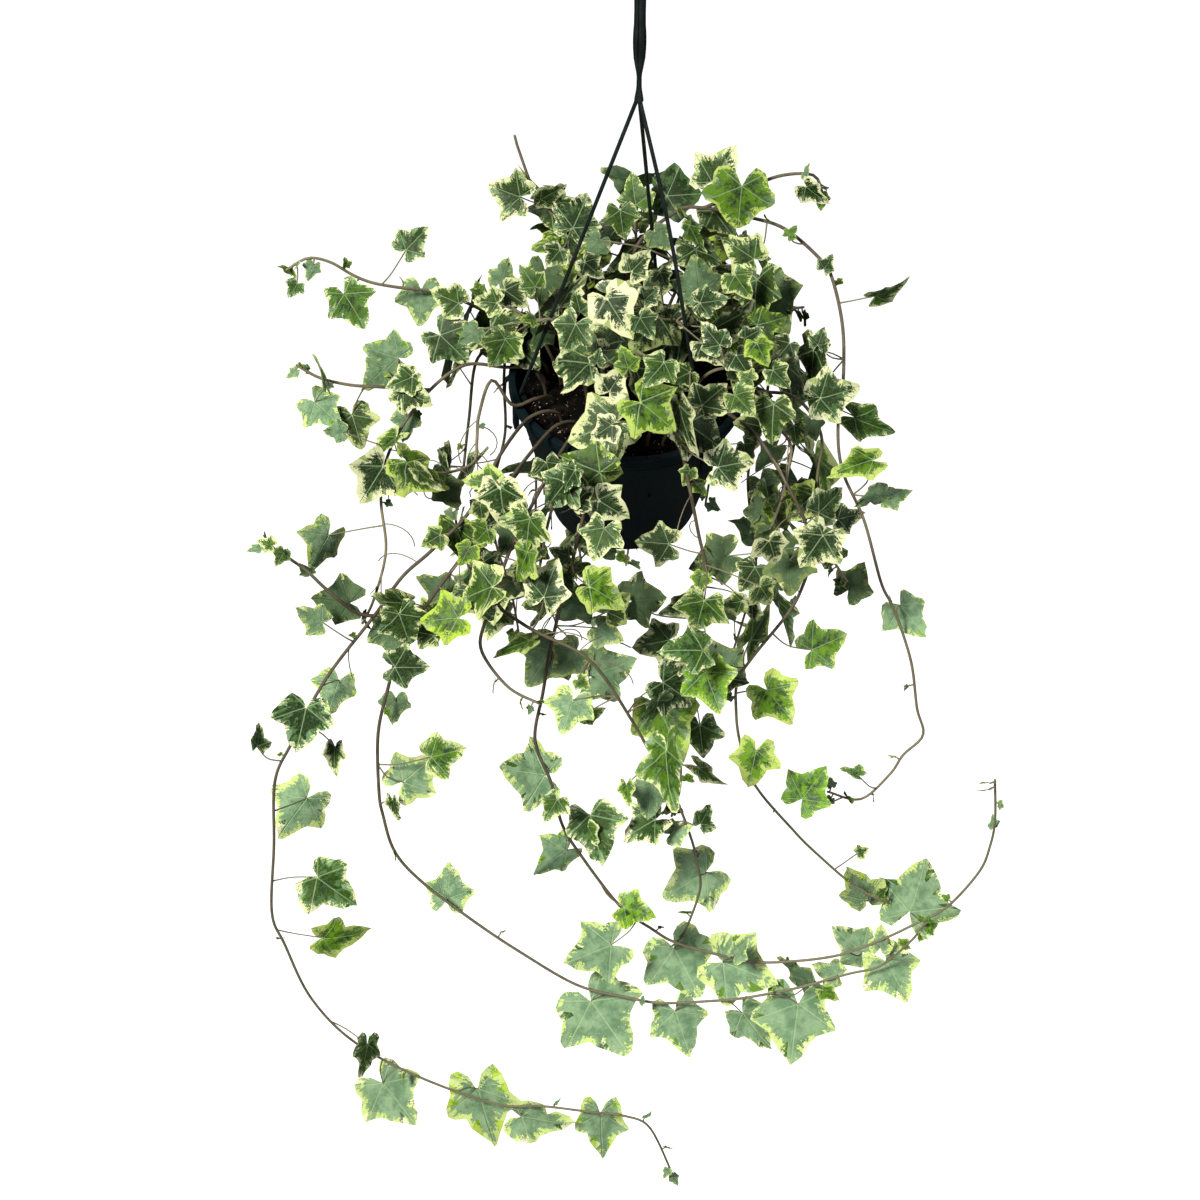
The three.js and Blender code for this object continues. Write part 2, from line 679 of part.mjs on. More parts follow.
// Roots spread over the soil like seeds in a sunflower, turned on where a root already stands
function spreadRoot(i, taken) {
  const radius = CROWN_SPREAD * Math.sqrt((i + 0.6) / CROWN_STEMS);
  let angle = 137.5 * i + 20;
  const spot = () => [radius * Math.cos(degrees(angle)), radius * Math.sin(degrees(angle))];
  const near = ([x, y]) => taken.some(([a, b]) => Math.hypot(a - x, b - y) < 8);
  while (near(spot())) angle += 7;
  return { root: spot(), angle, radius };
}

// A crown stem bends out in its own upright plane and ends under the dome of leaves
function crownPath({ root, angle, radius }, turn) {
  const rise = degrees(84 - 66 * (radius / CROWN_SPREAD));
  const round = degrees(angle + turn);
  const [x, y, z] = [Math.cos(rise) * Math.cos(round), Math.cos(rise) * Math.sin(round), Math.sin(rise)];
  const end = vector(x, y, z).multiply(DOME.half).multiplyScalar(0.86).add(DOME.centre);
  const start = inPot(root[0], root[1], 3 - SOIL_DROP);
  const bend = vector(start.x + 0.3 * (end.x - start.x), start.y + 0.3 * (end.y - start.y), end.z + 12);
  const points = [];
  for (let k = 1; k <= CROWN_POINTS; k++) {
    const t = k / CROWN_POINTS;
    const low = start.clone().lerp(bend, t);
    points.push(low.lerp(bend.clone().lerp(end, t), t));
  }
  return rootedPath(root, points);
}

// A back stem crosses the rim, bends down and hangs with a slight wave
function backPath({ angle, hang }, turn) {
  const round = angle + turn;
  const [x, y] = [Math.cos(degrees(round)), Math.sin(degrees(round))];
  const points = overRim(round);
  points.push(inPot(108 * x, 108 * y, -8));
  const steps = Math.round(hang / BACK_STEP);
  for (let k = 1; k <= steps; k++) {
    const out = 120 + 6 * Math.sin(1.7 * k + angle) + 0.02 * hang * Math.sin(0.6 * k);
    const wave = 5 * Math.sin(1.1 * k + 2 * angle);
    const low = RIM_CENTRE.z - 8 - (hang * k) / steps;
    points.push(vector(out * x - wave * y + RIM_CENTRE.x, out * y + wave * x + RIM_CENTRE.y, low));
  }
  return rootedPath([58 * x, 58 * y], points);
}

// A leaf by rule: beside the stem at one of its points, its face turned out and up
function placeByRule(node, run, out, leaf, turn, reach) {
  const beside = out.clone().cross(run).normalize().multiplyScalar(leaf.hand);
  beside.applyAxisAngle(out, degrees(turn));
  const base = node.clone().addScaledVector(beside, 0.5 * reach * leaf.length);
  base.addScaledVector(out, 0.3 * reach * leaf.length);
  const tipward = beside.clone().addScaledVector(out, 0.15).add(vector(0, 0, -0.6)).normalize();
  const face = out.clone().add(vector(0, 0, 0.6));
  face.addScaledVector(tipward, -face.dot(tipward)).normalize();
  face.applyAxisAngle(tipward, degrees(leaf.sway));
  return { base, tipward, face, side: tipward.clone().cross(face), length: leaf.length };
}

// What has been placed: each solid with its box and the node it belongs to

const placed = [];

function remember(node, solid, stem) {
  placed.push({ node, stem, solid, box: solid.boundingBox() });
}

function boxesMeet(a, b) {
  return [0, 1, 2].every((i) => a.min[i] < b.max[i] && b.min[i] < a.max[i]);
}

function isClear(solid, skip) {
  const box = solid.boundingBox();
  const near = placed.filter((p) => !skip(p) && boxesMeet(p.box, box));
  return near.every((p) => p.solid.intersect(solid).isEmpty());
}

// The hanger's strands, the pot and the soil

const object = new THREE.Group();
const potGroup = new THREE.Group();
potGroup.position.copy(RIM_CENTRE);
potGroup.quaternion.copy(potTurn);
object.add(potGroup);
const fromPot = new THREE.Matrix4().compose(RIM_CENTRE, potTurn, vector(1, 1, 1));

const strandSockets = [];
for (const [name, angle] of Object.entries(EAR_ANGLES)) {
  const path = strandPath(angle, STRAND_BOWS[name]);
  const strand = meshOf(solidOf(rod(path, STRAND_RADIUS, 8, 8)), "strand_" + name, PLASTIC, 0.45);
  object.add(strand);
  remember(strand.name, solidOf(strand.geometry), false);
  const socket = rod(path, STRAND_RADIUS + 0.45, 8, 8);
  strandSockets.push(solidOf(socket.applyMatrix4(fromPot.clone().invert())));
}
object.add(meshOf(makeHook(), "hanger_hook", PLASTIC, 0.45));

const pot = meshOf(makePot(strandSockets), "pot", PLASTIC, 0.5);
potGroup.add(pot);
remember("pot", solidOf(pot.geometry.clone().applyMatrix4(fromPot)), false);
const wholeSoil = meshOf(makeSoil([]), "soil", SOIL_BROWN, 1);
remember("soil", solidOf(wholeSoil.geometry.applyMatrix4(fromPot)), false);

// Every stem first, so that leaves keep clear of all of them

const stems = [];

function addStem(name, root, paths, side) {
  const solid = paths.reduce((sum, path) => {
    const limb = solidOf(stemGeometry(path, 0));
    return sum ? sum.add(limb) : limb;
  }, null);
  for (const path of paths) remember(name, solidOf(stemGeometry(path, CLEARANCE)), true);
  stems.push({ name, root, paths, solid, side });
}

const standsClear = (path) =>
  isClear(solidOf(stemGeometry(path, CLEARANCE)), (p) => p.node === "soil");

for (const vine of VINES) {
  const start = vine.over === undefined ? [inPot(...vine.rise)] : overRim(vine.over);
  const route = vine.route.map((point) => seen(...point));
  const branches = vine.branches.map((branch) => [
    route[branch.from],
    ...branch.route.map((point) => seen(...point)),
  ]);
  addStem(vine.name, vine.root, [rootedPath(vine.root, [...start, ...route]), ...branches], "seen");
}
for (const [i, back] of BACK_STEMS.entries()) {
  const turn = STEM_TURNS.find((t) => standsClear(backPath(back, t)));
  if (turn === undefined) continue;
  const round = degrees(back.angle + turn);
  const root = [58 * Math.cos(round), 58 * Math.sin(round)];
  addStem("back_stem_" + (i + 1), root, [backPath(back, turn)], "back");
}
for (let i = 0; i < CROWN_STEMS; i++) {
  const spot = spreadRoot(i, stems.map((stem) => stem.root));
  const turn = STEM_TURNS.find((t) => standsClear(crownPath(spot, t)));
  if (turn === undefined) continue;
  addStem("crown_stem_" + (i + 1), spot.root, [crownPath(spot, turn)], "crown");
}

const soil = makeSoil(stems.map((stem) => soilHole(...stem.root)));
potGroup.add(meshOf(soil, "soil", SOIL_BROWN, 1));

// Leaves: each takes the first place where it is clear of every other piece

function tryLeaf(stem, place, node, own) {
  const slide = stalkSlide(place, node);
  if (slide === undefined) return false;
  const wide = solidOf(leafGeometry(place, node, slide, CLEARANCE / 2));
  if (!isClear(wide, (p) => p.node === stem.name && (p.stem || own))) return false;
  const blade = solidOf(leafGeometry(place, null, 0, 0));
  if (!isClear(blade, (p) => p.node !== stem.name || !p.stem)) return false;
  const leaf = solidOf(leafGeometry(place, node, slide, 0));
  stem.solid = stem.solid.add(leaf);
  remember(stem.name, leaf, false);
  return true;
}

function leafDraw() {
  return { pitch: draw(-14, 14), sway: draw(-16, 16), scale: draw(0, 1) };
}

const SEEN_SHIFTS = [0, -8, 8, -16, 16, -24, 24, -32, 32, -40, 40];

function addSeenLeaf(at, sites, depth) {
  const tilt = leafDraw();
  for (const own of [false, true]) {
    for (const { stem, node } of sites) {
      for (const shift of SEEN_SHIFTS) {
        const place = placeSeen(at, (depth ?? node.y) + shift, tilt);
        if (tryLeaf(stem, place, node, own)) return true;
      }
    }
  }
  return false;
}

// The places on some stems nearest to a leaf's stalk end: a stalk stands midway between two points
function nearestSites(list, at, depth, count) {
  const sites = list.flatMap((stem) =>
    stem.paths.flatMap((path, p) => {
      const start = p === 0 ? 3 : 1;
      return path.slice(start).map((to, k) => ({ stem, node: midway(path[start + k - 1], to) }));
    }),
  );
  const far = ({ node }) => node.distanceTo(seen(at[0], at[1], depth ?? node.y));
  return sites.sort((a, b) => far(a) - far(b)).slice(0, count);
}

let missed = 0;
for (const [i, vine] of VINES.entries()) {
  for (const at of vine.leaves) {
    if (!addSeenLeaf(at, nearestSites([stems[i]], at, undefined, 2), undefined)) missed++;
  }
}

// The depth at which the ray through a pixel meets the dome
function domeDepth(u, v) {
  const eye = vector(VIEW.x, VIEW.y, VIEW.z);
  const ray = seen(u, v, 0).sub(eye).normalize();
  const from = eye.clone().sub(DOME.centre).divide(DOME.half);
  const run = ray.clone().divide(DOME.half);
  const [a, b, c] = [run.dot(run), from.dot(run), from.dot(from) - 1];
  return eye.y + (ray.y * (-b - Math.sqrt(Math.max(0, b * b - a * c)))) / a;
}

const crownStems = stems.filter((stem) => stem.side === "crown");
for (const at of CROWN_LEAVES) {
  const depth = domeDepth(at[0], at[1]);
  if (!addSeenLeaf(at, nearestSites(crownStems, at, depth, 4), depth)) missed++;
}

// The leaves that follow by rule keep off the parts of the pot and soil that the photograph shows,
// and off the empty spaces among its stems
function pixelOf(point) {
  const from = point.clone().sub(vector(VIEW.x, VIEW.y, VIEW.z));
  const [sine, cosine] = [Math.sin(degrees(VIEW.pitch)), Math.cos(degrees(VIEW.pitch))];
  const ahead = from.y * cosine - from.z * sine;
  const up = from.y * sine + from.z * cosine;
  return [VIEW.middle + (VIEW.focal * from.x) / ahead, VIEW.middle - (VIEW.focal * up) / ahead];
}

const BARE_VIEWS = [
  [520, 370, 590, 440],
  [612, 440, 704, 545],
  [500, 200, 545, 262],
  [775, 240, 838, 300],
  [796, 290, 838, 345],
  [700, 478, 752, 535],
  [430, 385, 515, 455],
  [462, 352, 505, 390],
  [385, 500, 440, 548],
  [345, 520, 385, 600],
  [760, 432, 800, 470],
  [800, 560, 850, 640],
];

function hidesBare(place) {
  const tip = place.base.clone().addScaledVector(place.tipward, place.length);
  const middle = place.base.clone().lerp(tip, 0.5);
  return [place.base, middle, tip].some((point) => {
    const [u, v] = pixelOf(point);
    return BARE_VIEWS.some(([left, top, right, low]) => u > left && u < right && v > top && v < low);
  });
}

const RULE_TURNS = [0, 28, -28, 56, -56, 84, -84];

function addRuleLeaf(stem, node, run, out, leaf) {
  for (const reach of [1, 1.5]) {
    for (const turn of RULE_TURNS) {
      const place = placeByRule(node, run, out, leaf, turn, reach);
      if (!hidesBare(place) && tryLeaf(stem, place, node, false)) return true;
    }
  }
  return false;
}

for (const stem of stems.filter((s) => s.side !== "seen")) {
  const path = stem.paths[0];
  const first = stem.side === "crown" ? 3 : 4;
  for (let k = first; k < path.length; k++) {
    const run = path[k].clone().sub(path[k - 1]).normalize();
    const out = path[k].clone().sub(DOME.centre).divide(DOME.half).divide(DOME.half).normalize();
    if (stem.side === "back") out.setZ(0.1).normalize();
    const hand = k % 2 ? 1 : -1;
    const tilt = leafDraw();
    const full = stem.side === "crown" ? 28 + 12 * tilt.scale : 30 + 14 * tilt.scale;
    const length = k === path.length - 1 ? 0.7 * full : full;
    const node = midway(path[k - 1], path[k]);
    if (!addRuleLeaf(stem, node, run, out, { hand, length, sway: tilt.sway })) missed++;
  }
}

for (const stem of stems) object.add(meshOf(stem.solid, stem.name, LEAF_GREEN, 0.6));

export default object;
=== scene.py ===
import json
import math
import random

import bmesh
import bpy
from mathutils import Matrix, Quaternion, Vector
from mathutils.kdtree import KDTree

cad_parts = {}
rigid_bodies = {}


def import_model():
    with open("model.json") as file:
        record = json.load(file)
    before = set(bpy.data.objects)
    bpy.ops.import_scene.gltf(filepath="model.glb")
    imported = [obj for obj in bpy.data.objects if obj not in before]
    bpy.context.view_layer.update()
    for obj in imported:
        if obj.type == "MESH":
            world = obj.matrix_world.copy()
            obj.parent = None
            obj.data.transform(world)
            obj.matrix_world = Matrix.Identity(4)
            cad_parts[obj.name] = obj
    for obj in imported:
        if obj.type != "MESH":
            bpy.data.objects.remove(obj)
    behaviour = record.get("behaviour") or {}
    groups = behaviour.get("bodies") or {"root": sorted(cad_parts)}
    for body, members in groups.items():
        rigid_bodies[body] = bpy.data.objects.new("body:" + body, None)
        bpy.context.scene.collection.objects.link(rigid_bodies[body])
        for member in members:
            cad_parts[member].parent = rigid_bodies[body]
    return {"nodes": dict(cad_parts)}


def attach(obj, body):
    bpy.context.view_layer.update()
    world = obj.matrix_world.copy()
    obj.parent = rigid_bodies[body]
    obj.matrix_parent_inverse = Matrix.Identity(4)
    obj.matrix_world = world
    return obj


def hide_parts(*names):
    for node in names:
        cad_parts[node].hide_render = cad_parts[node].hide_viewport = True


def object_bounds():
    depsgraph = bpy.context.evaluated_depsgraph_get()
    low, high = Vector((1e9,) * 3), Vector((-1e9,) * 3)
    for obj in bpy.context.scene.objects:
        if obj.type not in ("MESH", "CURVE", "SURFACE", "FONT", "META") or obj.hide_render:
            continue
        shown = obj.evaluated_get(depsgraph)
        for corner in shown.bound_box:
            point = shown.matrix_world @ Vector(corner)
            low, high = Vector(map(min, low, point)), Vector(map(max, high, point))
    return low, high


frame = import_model()
cad_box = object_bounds()

# View, floor and light
# The camera stands before and above the pot, as in the photograph, and looks down on it. The
# floor is far below the plant: it gives a pale ground, and casts no light up at the leaves.
MM = 0.001
EYE = Vector((-23.8, -1196.0, 573.5))
LOOK_DOWN = math.radians(42.8)
FOCAL = 2200.0
MIDDLE = 600.0
SENSOR = 36.0

camera_data = bpy.data.cameras.new("camera")
camera_data.sensor_width = SENSOR
camera_data.lens = SENSOR * FOCAL / (2 * MIDDLE)
camera_data.clip_end = 50.0
camera = bpy.data.objects.new("camera", camera_data)
camera.location = EYE * MM
camera.rotation_euler = (math.pi / 2 - LOOK_DOWN, 0, 0)
bpy.context.collection.objects.link(camera)
bpy.context.scene.camera = camera

WHITE = (1.0, 1.0, 1.0)
LAMP_AIM = Vector((0.0, -0.05, -0.5))


def soft_lamp(name, place, size, power, colour):
    """A round lamp turned to the middle of the plant."""
    lamp_data = bpy.data.lights.new(name, "AREA")
    lamp_data.shape = "DISK"
    lamp_data.size = size
    lamp_data.energy = power
    lamp_data.color = colour
    lamp = bpy.data.objects.new(name, lamp_data)
    lamp.location = place
    lamp.rotation_euler = (LAMP_AIM - Vector(place)).to_track_quat("-Z", "Y").to_euler()
    bpy.context.collection.objects.link(lamp)


soft_lamp("lamp_high_left", (-1.3, -1.3, 1.6), 0.7, 107.0, (1.0, 0.98, 0.91))
soft_lamp("lamp_low_front", (1.2, -1.7, 0.2), 1.4, 15.0, (0.97, 0.985, 1.0))
soft_lamp("lamp_behind", (0.4, 1.8, 1.0), 1.4, 30.0, WHITE)


class Wire:
    """An output of a node; arithmetic on it adds the Math nodes."""

    def __init__(self, nodes, socket):
        self.nodes = nodes
        self.socket = socket

    def maths(self, operation, *parts):
        return self.nodes.node("ShaderNodeMath", dict(enumerate(parts)), operation=operation)

    def __add__(self, other):
        return self.maths("ADD", self, other)

    __radd__ = __add__

    def __mul__(self, other):
        return self.maths("MULTIPLY", self, other)

    __rmul__ = __mul__

    def __sub__(self, other):
        return self.maths("SUBTRACT", self, other)

    def __rsub__(self, other):
        return self.maths("SUBTRACT", other, self)

    def __abs__(self):
        return self.maths("ABSOLUTE", self)

    def least(self, other):
        return self.maths("MINIMUM", self, other)

    def most(self, other):
        return self.maths("MAXIMUM", self, other)

    def ramp(self, low, high):
        """0 below low and 1 above high, smooth between; the other way round if low is above high."""
        ends = {"Value": self, "From Min": low, "From Max": high}
        if low > high:
            ends = {"Value": self, "From Min": high, "From Max": low, "To Min": 1.0, "To Max": 0.0}
        return self.nodes.node("MapRange", ends, interpolation_type="SMOOTHSTEP")


class Nodes:
    """A tree of nodes, built node by node."""

    prefix = "ShaderNode"

    def __init__(self, tree):
        self.tree = tree

    def node(self, kind, sockets=None, output=0, **settings):
        made = self.tree.nodes.new(kind if "Node" in kind else self.prefix + kind)
        for name, value in settings.items():
            setattr(made, name, value)
        for name, value in (sockets or {}).items():
            self.join(made.inputs[name], value)
        return Wire(self, made.outputs[output])

    def join(self, socket, value):
        if isinstance(value, Wire):
            self.tree.links.new(value.socket, socket)
        elif socket.type == "RGBA":
            socket.default_value = (*value, 1.0)
        else:
            socket.default_value = value


class Paint(Nodes):
    """A material with one Principled shader."""

    def __init__(self, name):
        self.material = bpy.data.materials.new(name)
        self.material.use_nodes = True
        super().__init__(self.material.node_tree)

    def set(self, **sockets):
        for name, value in sockets.items():
            self.join(self.tree.nodes["Principled BSDF"].inputs[name.replace("_", " ")], value)

    def mix(self, share, first, second):
        return self.node("Mix", {0: share, 6: first, 7: second}, 2, data_type="RGBA")

    def noise(self, vector, scale, detail=3.0, roughness=0.55):
        sockets = {"Vector": vector, "Scale": scale, "Detail": detail, "Roughness": roughness}
        return self.node("TexNoise", sockets)

    def place(self):
        """The object's own coordinates."""
        return self.node("TexCoord", None, 3)

    def bump(self, height, depth):
        return self.node("Bump", {"Height": height, "Strength": 1.0, "Distance": depth})

    def attribute(self, name):
        return self.node("Attribute", None, 2, attribute_name=name)


# The room is white to the eye and gives the plant a dimmer light.
ROOM_GLOW = 0.08
room = bpy.data.worlds.new("room")
room.use_nodes = True
room_nodes = Nodes(room.node_tree)
room_light = room_nodes.node("Background", {"Color": WHITE, "Strength": ROOM_GLOW})
room_sight = room_nodes.node("Background", {"Color": WHITE, "Strength": 1.0})
room_choice = room_nodes.node("MixShader", {0: room_nodes.node("LightPath"), 1: room_light, 2: room_sight})
room_nodes.join(room.node_tree.nodes["World Output"].inputs["Surface"], room_choice)
bpy.context.scene.world = room


def piece_from(name, points, faces, material, smooth=True):
    """A mesh object in metres from points in mm, its faces turned outwards."""
    mesh = bpy.data.meshes.new(name)
    mesh.from_pydata([Vector(p) * MM for p in points], [], faces)
    shape = bmesh.new()
    shape.from_mesh(mesh)
    bmesh.ops.recalc_face_normals(shape, faces=shape.faces)
    shape.to_mesh(mesh)
    shape.free()
    mesh.shade_smooth() if smooth else mesh.shade_flat()
    mesh.materials.append(material)
    piece = bpy.data.objects.new(name, mesh)
    bpy.context.collection.objects.link(piece)
    return piece


FLOOR_DROP = 2000.0
FLOOR_HALF = 4200.0
FLOOR_BACK = 2400.0
FLOOR_GREYS = ((0.86, 0.86, 0.86), (0.9, 0.9, 0.9))
FLOOR_GLOW = 0.95
floor_paint = Paint("pale_floor")
floor_grain = floor_paint.noise(floor_paint.place(), 3.0)
floor_paint.set(
    Base_Color=floor_paint.mix(floor_grain, *FLOOR_GREYS),
    Roughness=0.9, Emission_Color=WHITE, Emission_Strength=FLOOR_GLOW,
)
floor_level = cad_box[0][2] / MM - FLOOR_DROP
floor_corners = [
    (x * FLOOR_HALF, y * FLOOR_HALF + FLOOR_BACK, floor_level)
    for x, y in ((-1, -1), (1, -1), (1, 1), (-1, 1))
]
floor = piece_from("floor", floor_corners, [(0, 1, 2, 3)], floor_paint.material, smooth=False)
floor.visible_diffuse = False
floor.visible_glossy = False

# Pot
# One injection moulding in dark blue-green plastic: a rim with a flanged lip, a collar band, a
# tapered wall and a flat base with drain holes. Three ears stand inside the rim for the
# hanger's feet, and a rib runs down below the collar outside each.
RIM_CENTRE = Vector((-4.5, 22.0, -345.0))
SPLIT_POINT = Vector((0.0, 0.0, -113.0))
POT_TURN = Vector((0, 0, 1)).rotation_difference((SPLIT_POINT - RIM_CENTRE).normalized())
RIM_RADIUS = 82.5
LIP_DEPTH = 6.5
COLLAR_DROP = 12.0
BODY_INSET = 5.1
POT_HEIGHT = 118.0
BASE_RADIUS = 53.0
GROOVE_RADIUS = 44.0
GROOVE_DEPTH = 1.2
WALL = 1.9
POT_SIDES = 96
DRAINS = 5
DRAIN_RADIUS = 4.0
DRAIN_CIRCLE = 38.0
DRAIN_TURN = 20.0
DRAIN_SIDES = 20
DRAIN_REACH = 6.0
EAR_RADIUS = 73.5
EAR_INWARDS = 1.6
EAR_OUTWARDS = 4.8
EAR_TOP = 4.0
EAR_ANGLES = {"left": -168.0, "right": -48.0, "back": 72.0}
# Half-width, lowest and highest level of an ear's upper and lower part, and of the rib
EAR_UPPER = (5.9, -4, 3.9)
EAR_LOWER = (6.0, -8, -3.6)
RIB = (3.5, -32, -11.5)
SOFT_EDGE = 0.35
SOFTENED_FROM = math.radians(50)
SHARP_FROM = math.radians(38)
POT_COLOUR = (0.0035, 0.0095, 0.0115)
POT_WORN = (0.01, 0.022, 0.026)


def in_pot(x, y, z):
    return POT_TURN @ Vector((x, y, z)) + RIM_CENTRE


def circle(degrees, radius=1.0):
    return radius * math.cos(math.radians(degrees)), radius * math.sin(math.radians(degrees))


def turned(profile, sides, place=in_pot):
    """Points and faces of a profile turned about the axis; its ends lie on the axis."""
    rings = profile[1:-1]
    points = [place(0, 0, profile[0][1]), place(0, 0, profile[-1][1])]
    for radius, height in rings:
        points += [place(*circle(360 * i / sides, radius), height) for i in range(sides)]
    faces = []
    for k in range(len(rings)):
        for i in range(sides):
            here, there = 2 + k * sides + i, 2 + k * sides + (i + 1) % sides
            if k == 0:
                faces.append((0, there, here))
            if k == len(rings) - 1:
                faces.append((1, here, there))
            else:
                faces.append((here, there, there + sides, here + sides))
    return points, faces


def block(angle, near, far, half, low, high):
    """A block that stands from near to far along an angle of the pot, half wide to each side."""
    x, y = circle(angle)
    points = []
    for z in (low, high):
        for r, side in ((near, -half), (far, -half), (far, half), (near, half)):
            points.append(in_pot(r * x - side * y, r * y + side * x, z))
    return points, [(0, 3, 2, 1), (4, 5, 6, 7), (0, 1, 5, 4), (1, 2, 6, 5), (2, 3, 7, 6), (3, 0, 4, 7)]


def add_shape(shape, points, faces):
    """Adds points and the faces on them to a shape, which is a list of each."""
    start = len(shape[0])
    shape[0].extend(points)
    shape[1].extend(tuple(start + corner for corner in face) for face in faces)


pot_paint = Paint("moulded_dark_plastic")
pot_place = pot_paint.place()
pot_cloud = pot_paint.noise(pot_place, 22.0, 4.0)
pot_grain = pot_paint.noise(pot_place, 1400.0, 2.0)
pot_scuff = pot_paint.noise(pot_place, 95.0, 6.0, 0.7).ramp(0.58, 0.74)
pot_dust = pot_scuff * 0.35 + pot_cloud.ramp(0.45, 0.8) * 0.25
pot_paint.set(
    Base_Color=pot_paint.mix(pot_dust, POT_COLOUR, POT_WORN),
    Roughness=pot_cloud * 0.16 + pot_scuff * 0.12 + 0.4,
    Specular_IOR_Level=0.1,
    Normal=pot_paint.bump(pot_grain * 0.4 + pot_cloud * 0.6, 0.0004),
)

body_radius = RIM_RADIUS - BODY_INSET
collar_radius = RIM_RADIUS - WALL
base_level = -POT_HEIGHT
groove_level = GROOVE_DEPTH - POT_HEIGHT
pot_profile = [
    (0, base_level), (GROOVE_RADIUS, base_level), (GROOVE_RADIUS + 0.6, groove_level),
    (GROOVE_RADIUS + 3, groove_level), (GROOVE_RADIUS + 3.6, base_level),
    (BASE_RADIUS - 1.4, base_level), (BASE_RADIUS - 0.3, base_level + 0.5),
    (BASE_RADIUS + 0.1, base_level + 2), (body_radius - 0.1, -COLLAR_DROP - 0.6),
    (body_radius + 0.4, -COLLAR_DROP), (collar_radius - 0.5, -COLLAR_DROP),
    (collar_radius, 0.6 - COLLAR_DROP), (collar_radius, -LIP_DEPTH - 0.5),
    (collar_radius + 0.3, -LIP_DEPTH - 0.1), (RIM_RADIUS - 0.5, -LIP_DEPTH),
    (RIM_RADIUS, 0.5 - LIP_DEPTH), (RIM_RADIUS, -0.8), (RIM_RADIUS - 0.3, -0.2),
    (RIM_RADIUS - 0.9, 0), (body_radius + 0.6, 0), (body_radius, -0.5),
    (body_radius - WALL + 0.3, -COLLAR_DROP + 1), (body_radius - WALL, -COLLAR_DROP - 1),
    (BASE_RADIUS - WALL, base_level + WALL), (0, base_level + WALL),
]
pot_shape = turned(pot_profile, POT_SIDES)
for ear_angle in EAR_ANGLES.values():
    for part in (EAR_UPPER, EAR_LOWER):
        add_shape(pot_shape, *block(ear_angle, EAR_RADIUS - EAR_INWARDS, EAR_RADIUS + EAR_OUTWARDS, *part))
    add_shape(pot_shape, *block(ear_angle, body_radius - 0.4, collar_radius, *RIB))
pot = piece_from("pot_moulding", *pot_shape, pot_paint.material, smooth=False)

drain_profile = [
    (0, base_level - DRAIN_REACH), (DRAIN_RADIUS, base_level - DRAIN_REACH),
    (DRAIN_RADIUS, base_level + DRAIN_REACH), (0, base_level + DRAIN_REACH),
]
drain_shape = ([], [])
for i in range(DRAINS):
    across, deep = circle(360 * i / DRAINS + DRAIN_TURN, DRAIN_CIRCLE)
    tube = turned(drain_profile, DRAIN_SIDES, lambda x, y, z: in_pot(x + across, y + deep, z))
    add_shape(drain_shape, *tube)
drains = piece_from("drain_cutter", *drain_shape, pot_paint.material)


def settle(piece):
    """The piece with its modifiers made part of its mesh."""
    seen_mesh = piece.evaluated_get(bpy.context.evaluated_depsgraph_get())
    settled = bpy.data.meshes.new_from_object(seen_mesh)
    piece.modifiers.clear()
    piece.data = settled
    settled.name = piece.name


drilling = pot.modifiers.new("drilling", "BOOLEAN")
drilling.object = drains
drilling.solver = "EXACT"
softening = pot.modifiers.new("softening", "BEVEL")
softening.width = SOFT_EDGE * MM
softening.segments = 2
softening.limit_method = "ANGLE"
softening.angle_limit = SOFTENED_FROM
settle(pot)
bpy.data.objects.remove(drains)
pot.data.set_sharp_from_angle(angle=SHARP_FROM)
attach(pot, "root")
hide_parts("pot")

# Potting mix
# Dark peat and bark packed to just below the rim, coarse and crumbly on top, with a few pale
# grains. The block is turned, its top is roughened, and crumbs lie scattered over it.
SOIL_DROP = 9.0
SOIL_DARK = (0.002, 0.0016, 0.0012)
SOIL_BROWN = (0.02, 0.012, 0.007)
SOIL_PALE = (0.5, 0.45, 0.37)
SOIL_SIDES = 72
SOIL_RINGS = 15
SOIL_MOUND = 1.8
SOIL_SAG = 3.0
SOIL_SIDE_GAP = 0.4
SOIL_FLOOR_GAP = 0.3
LUMP_SIZE = 6.0
LUMP_HEIGHT = 2.8
CRUMB_SQUASH = ((0.6, 0.35, 0.25), (1.4, 0.9, 0.6))
CRUMB_SLOPE = 0.35

soil_paint = Paint("potting_mix")
soil_place = soil_paint.place()
soil_clods = soil_paint.noise(soil_place, 130.0, 6.0, 0.7)
soil_fine = soil_paint.noise(soil_place, 620.0)
soil_speck = soil_paint.noise(soil_place, 420.0, 1.0).ramp(0.69, 0.73)
soil_brown = soil_paint.mix(soil_clods.ramp(0.47, 0.68), SOIL_DARK, SOIL_BROWN)
soil_paint.set(
    Base_Color=soil_paint.mix(soil_speck * 0.7, soil_brown, SOIL_PALE),
    Roughness=soil_fine * 0.15 + 0.82,
    Specular_IOR_Level=0.08,
    Normal=soil_paint.bump(soil_clods * 0.7 + soil_fine * 0.3, 0.002),
)

soil_side = WALL + SOIL_SIDE_GAP
soil_low = WALL + SOIL_FLOOR_GAP - POT_HEIGHT
soil_top = body_radius - soil_side - (body_radius - BASE_RADIUS) / (POT_HEIGHT - COLLAR_DROP)
soil_profile = [(0, soil_low), (BASE_RADIUS - soil_side, soil_low), (soil_top, -COLLAR_DROP - 1)]
for step in range(1, SOIL_RINGS):
    inner = 1 - step / SOIL_RINGS
    soil_profile.append(((soil_top - 2.5) * inner, SOIL_MOUND - SOIL_DROP - SOIL_SAG * inner**2))
soil_profile.append((0, SOIL_MOUND - SOIL_DROP))
soil = piece_from("potting_mix_block", *turned(soil_profile, SOIL_SIDES), soil_paint.material)
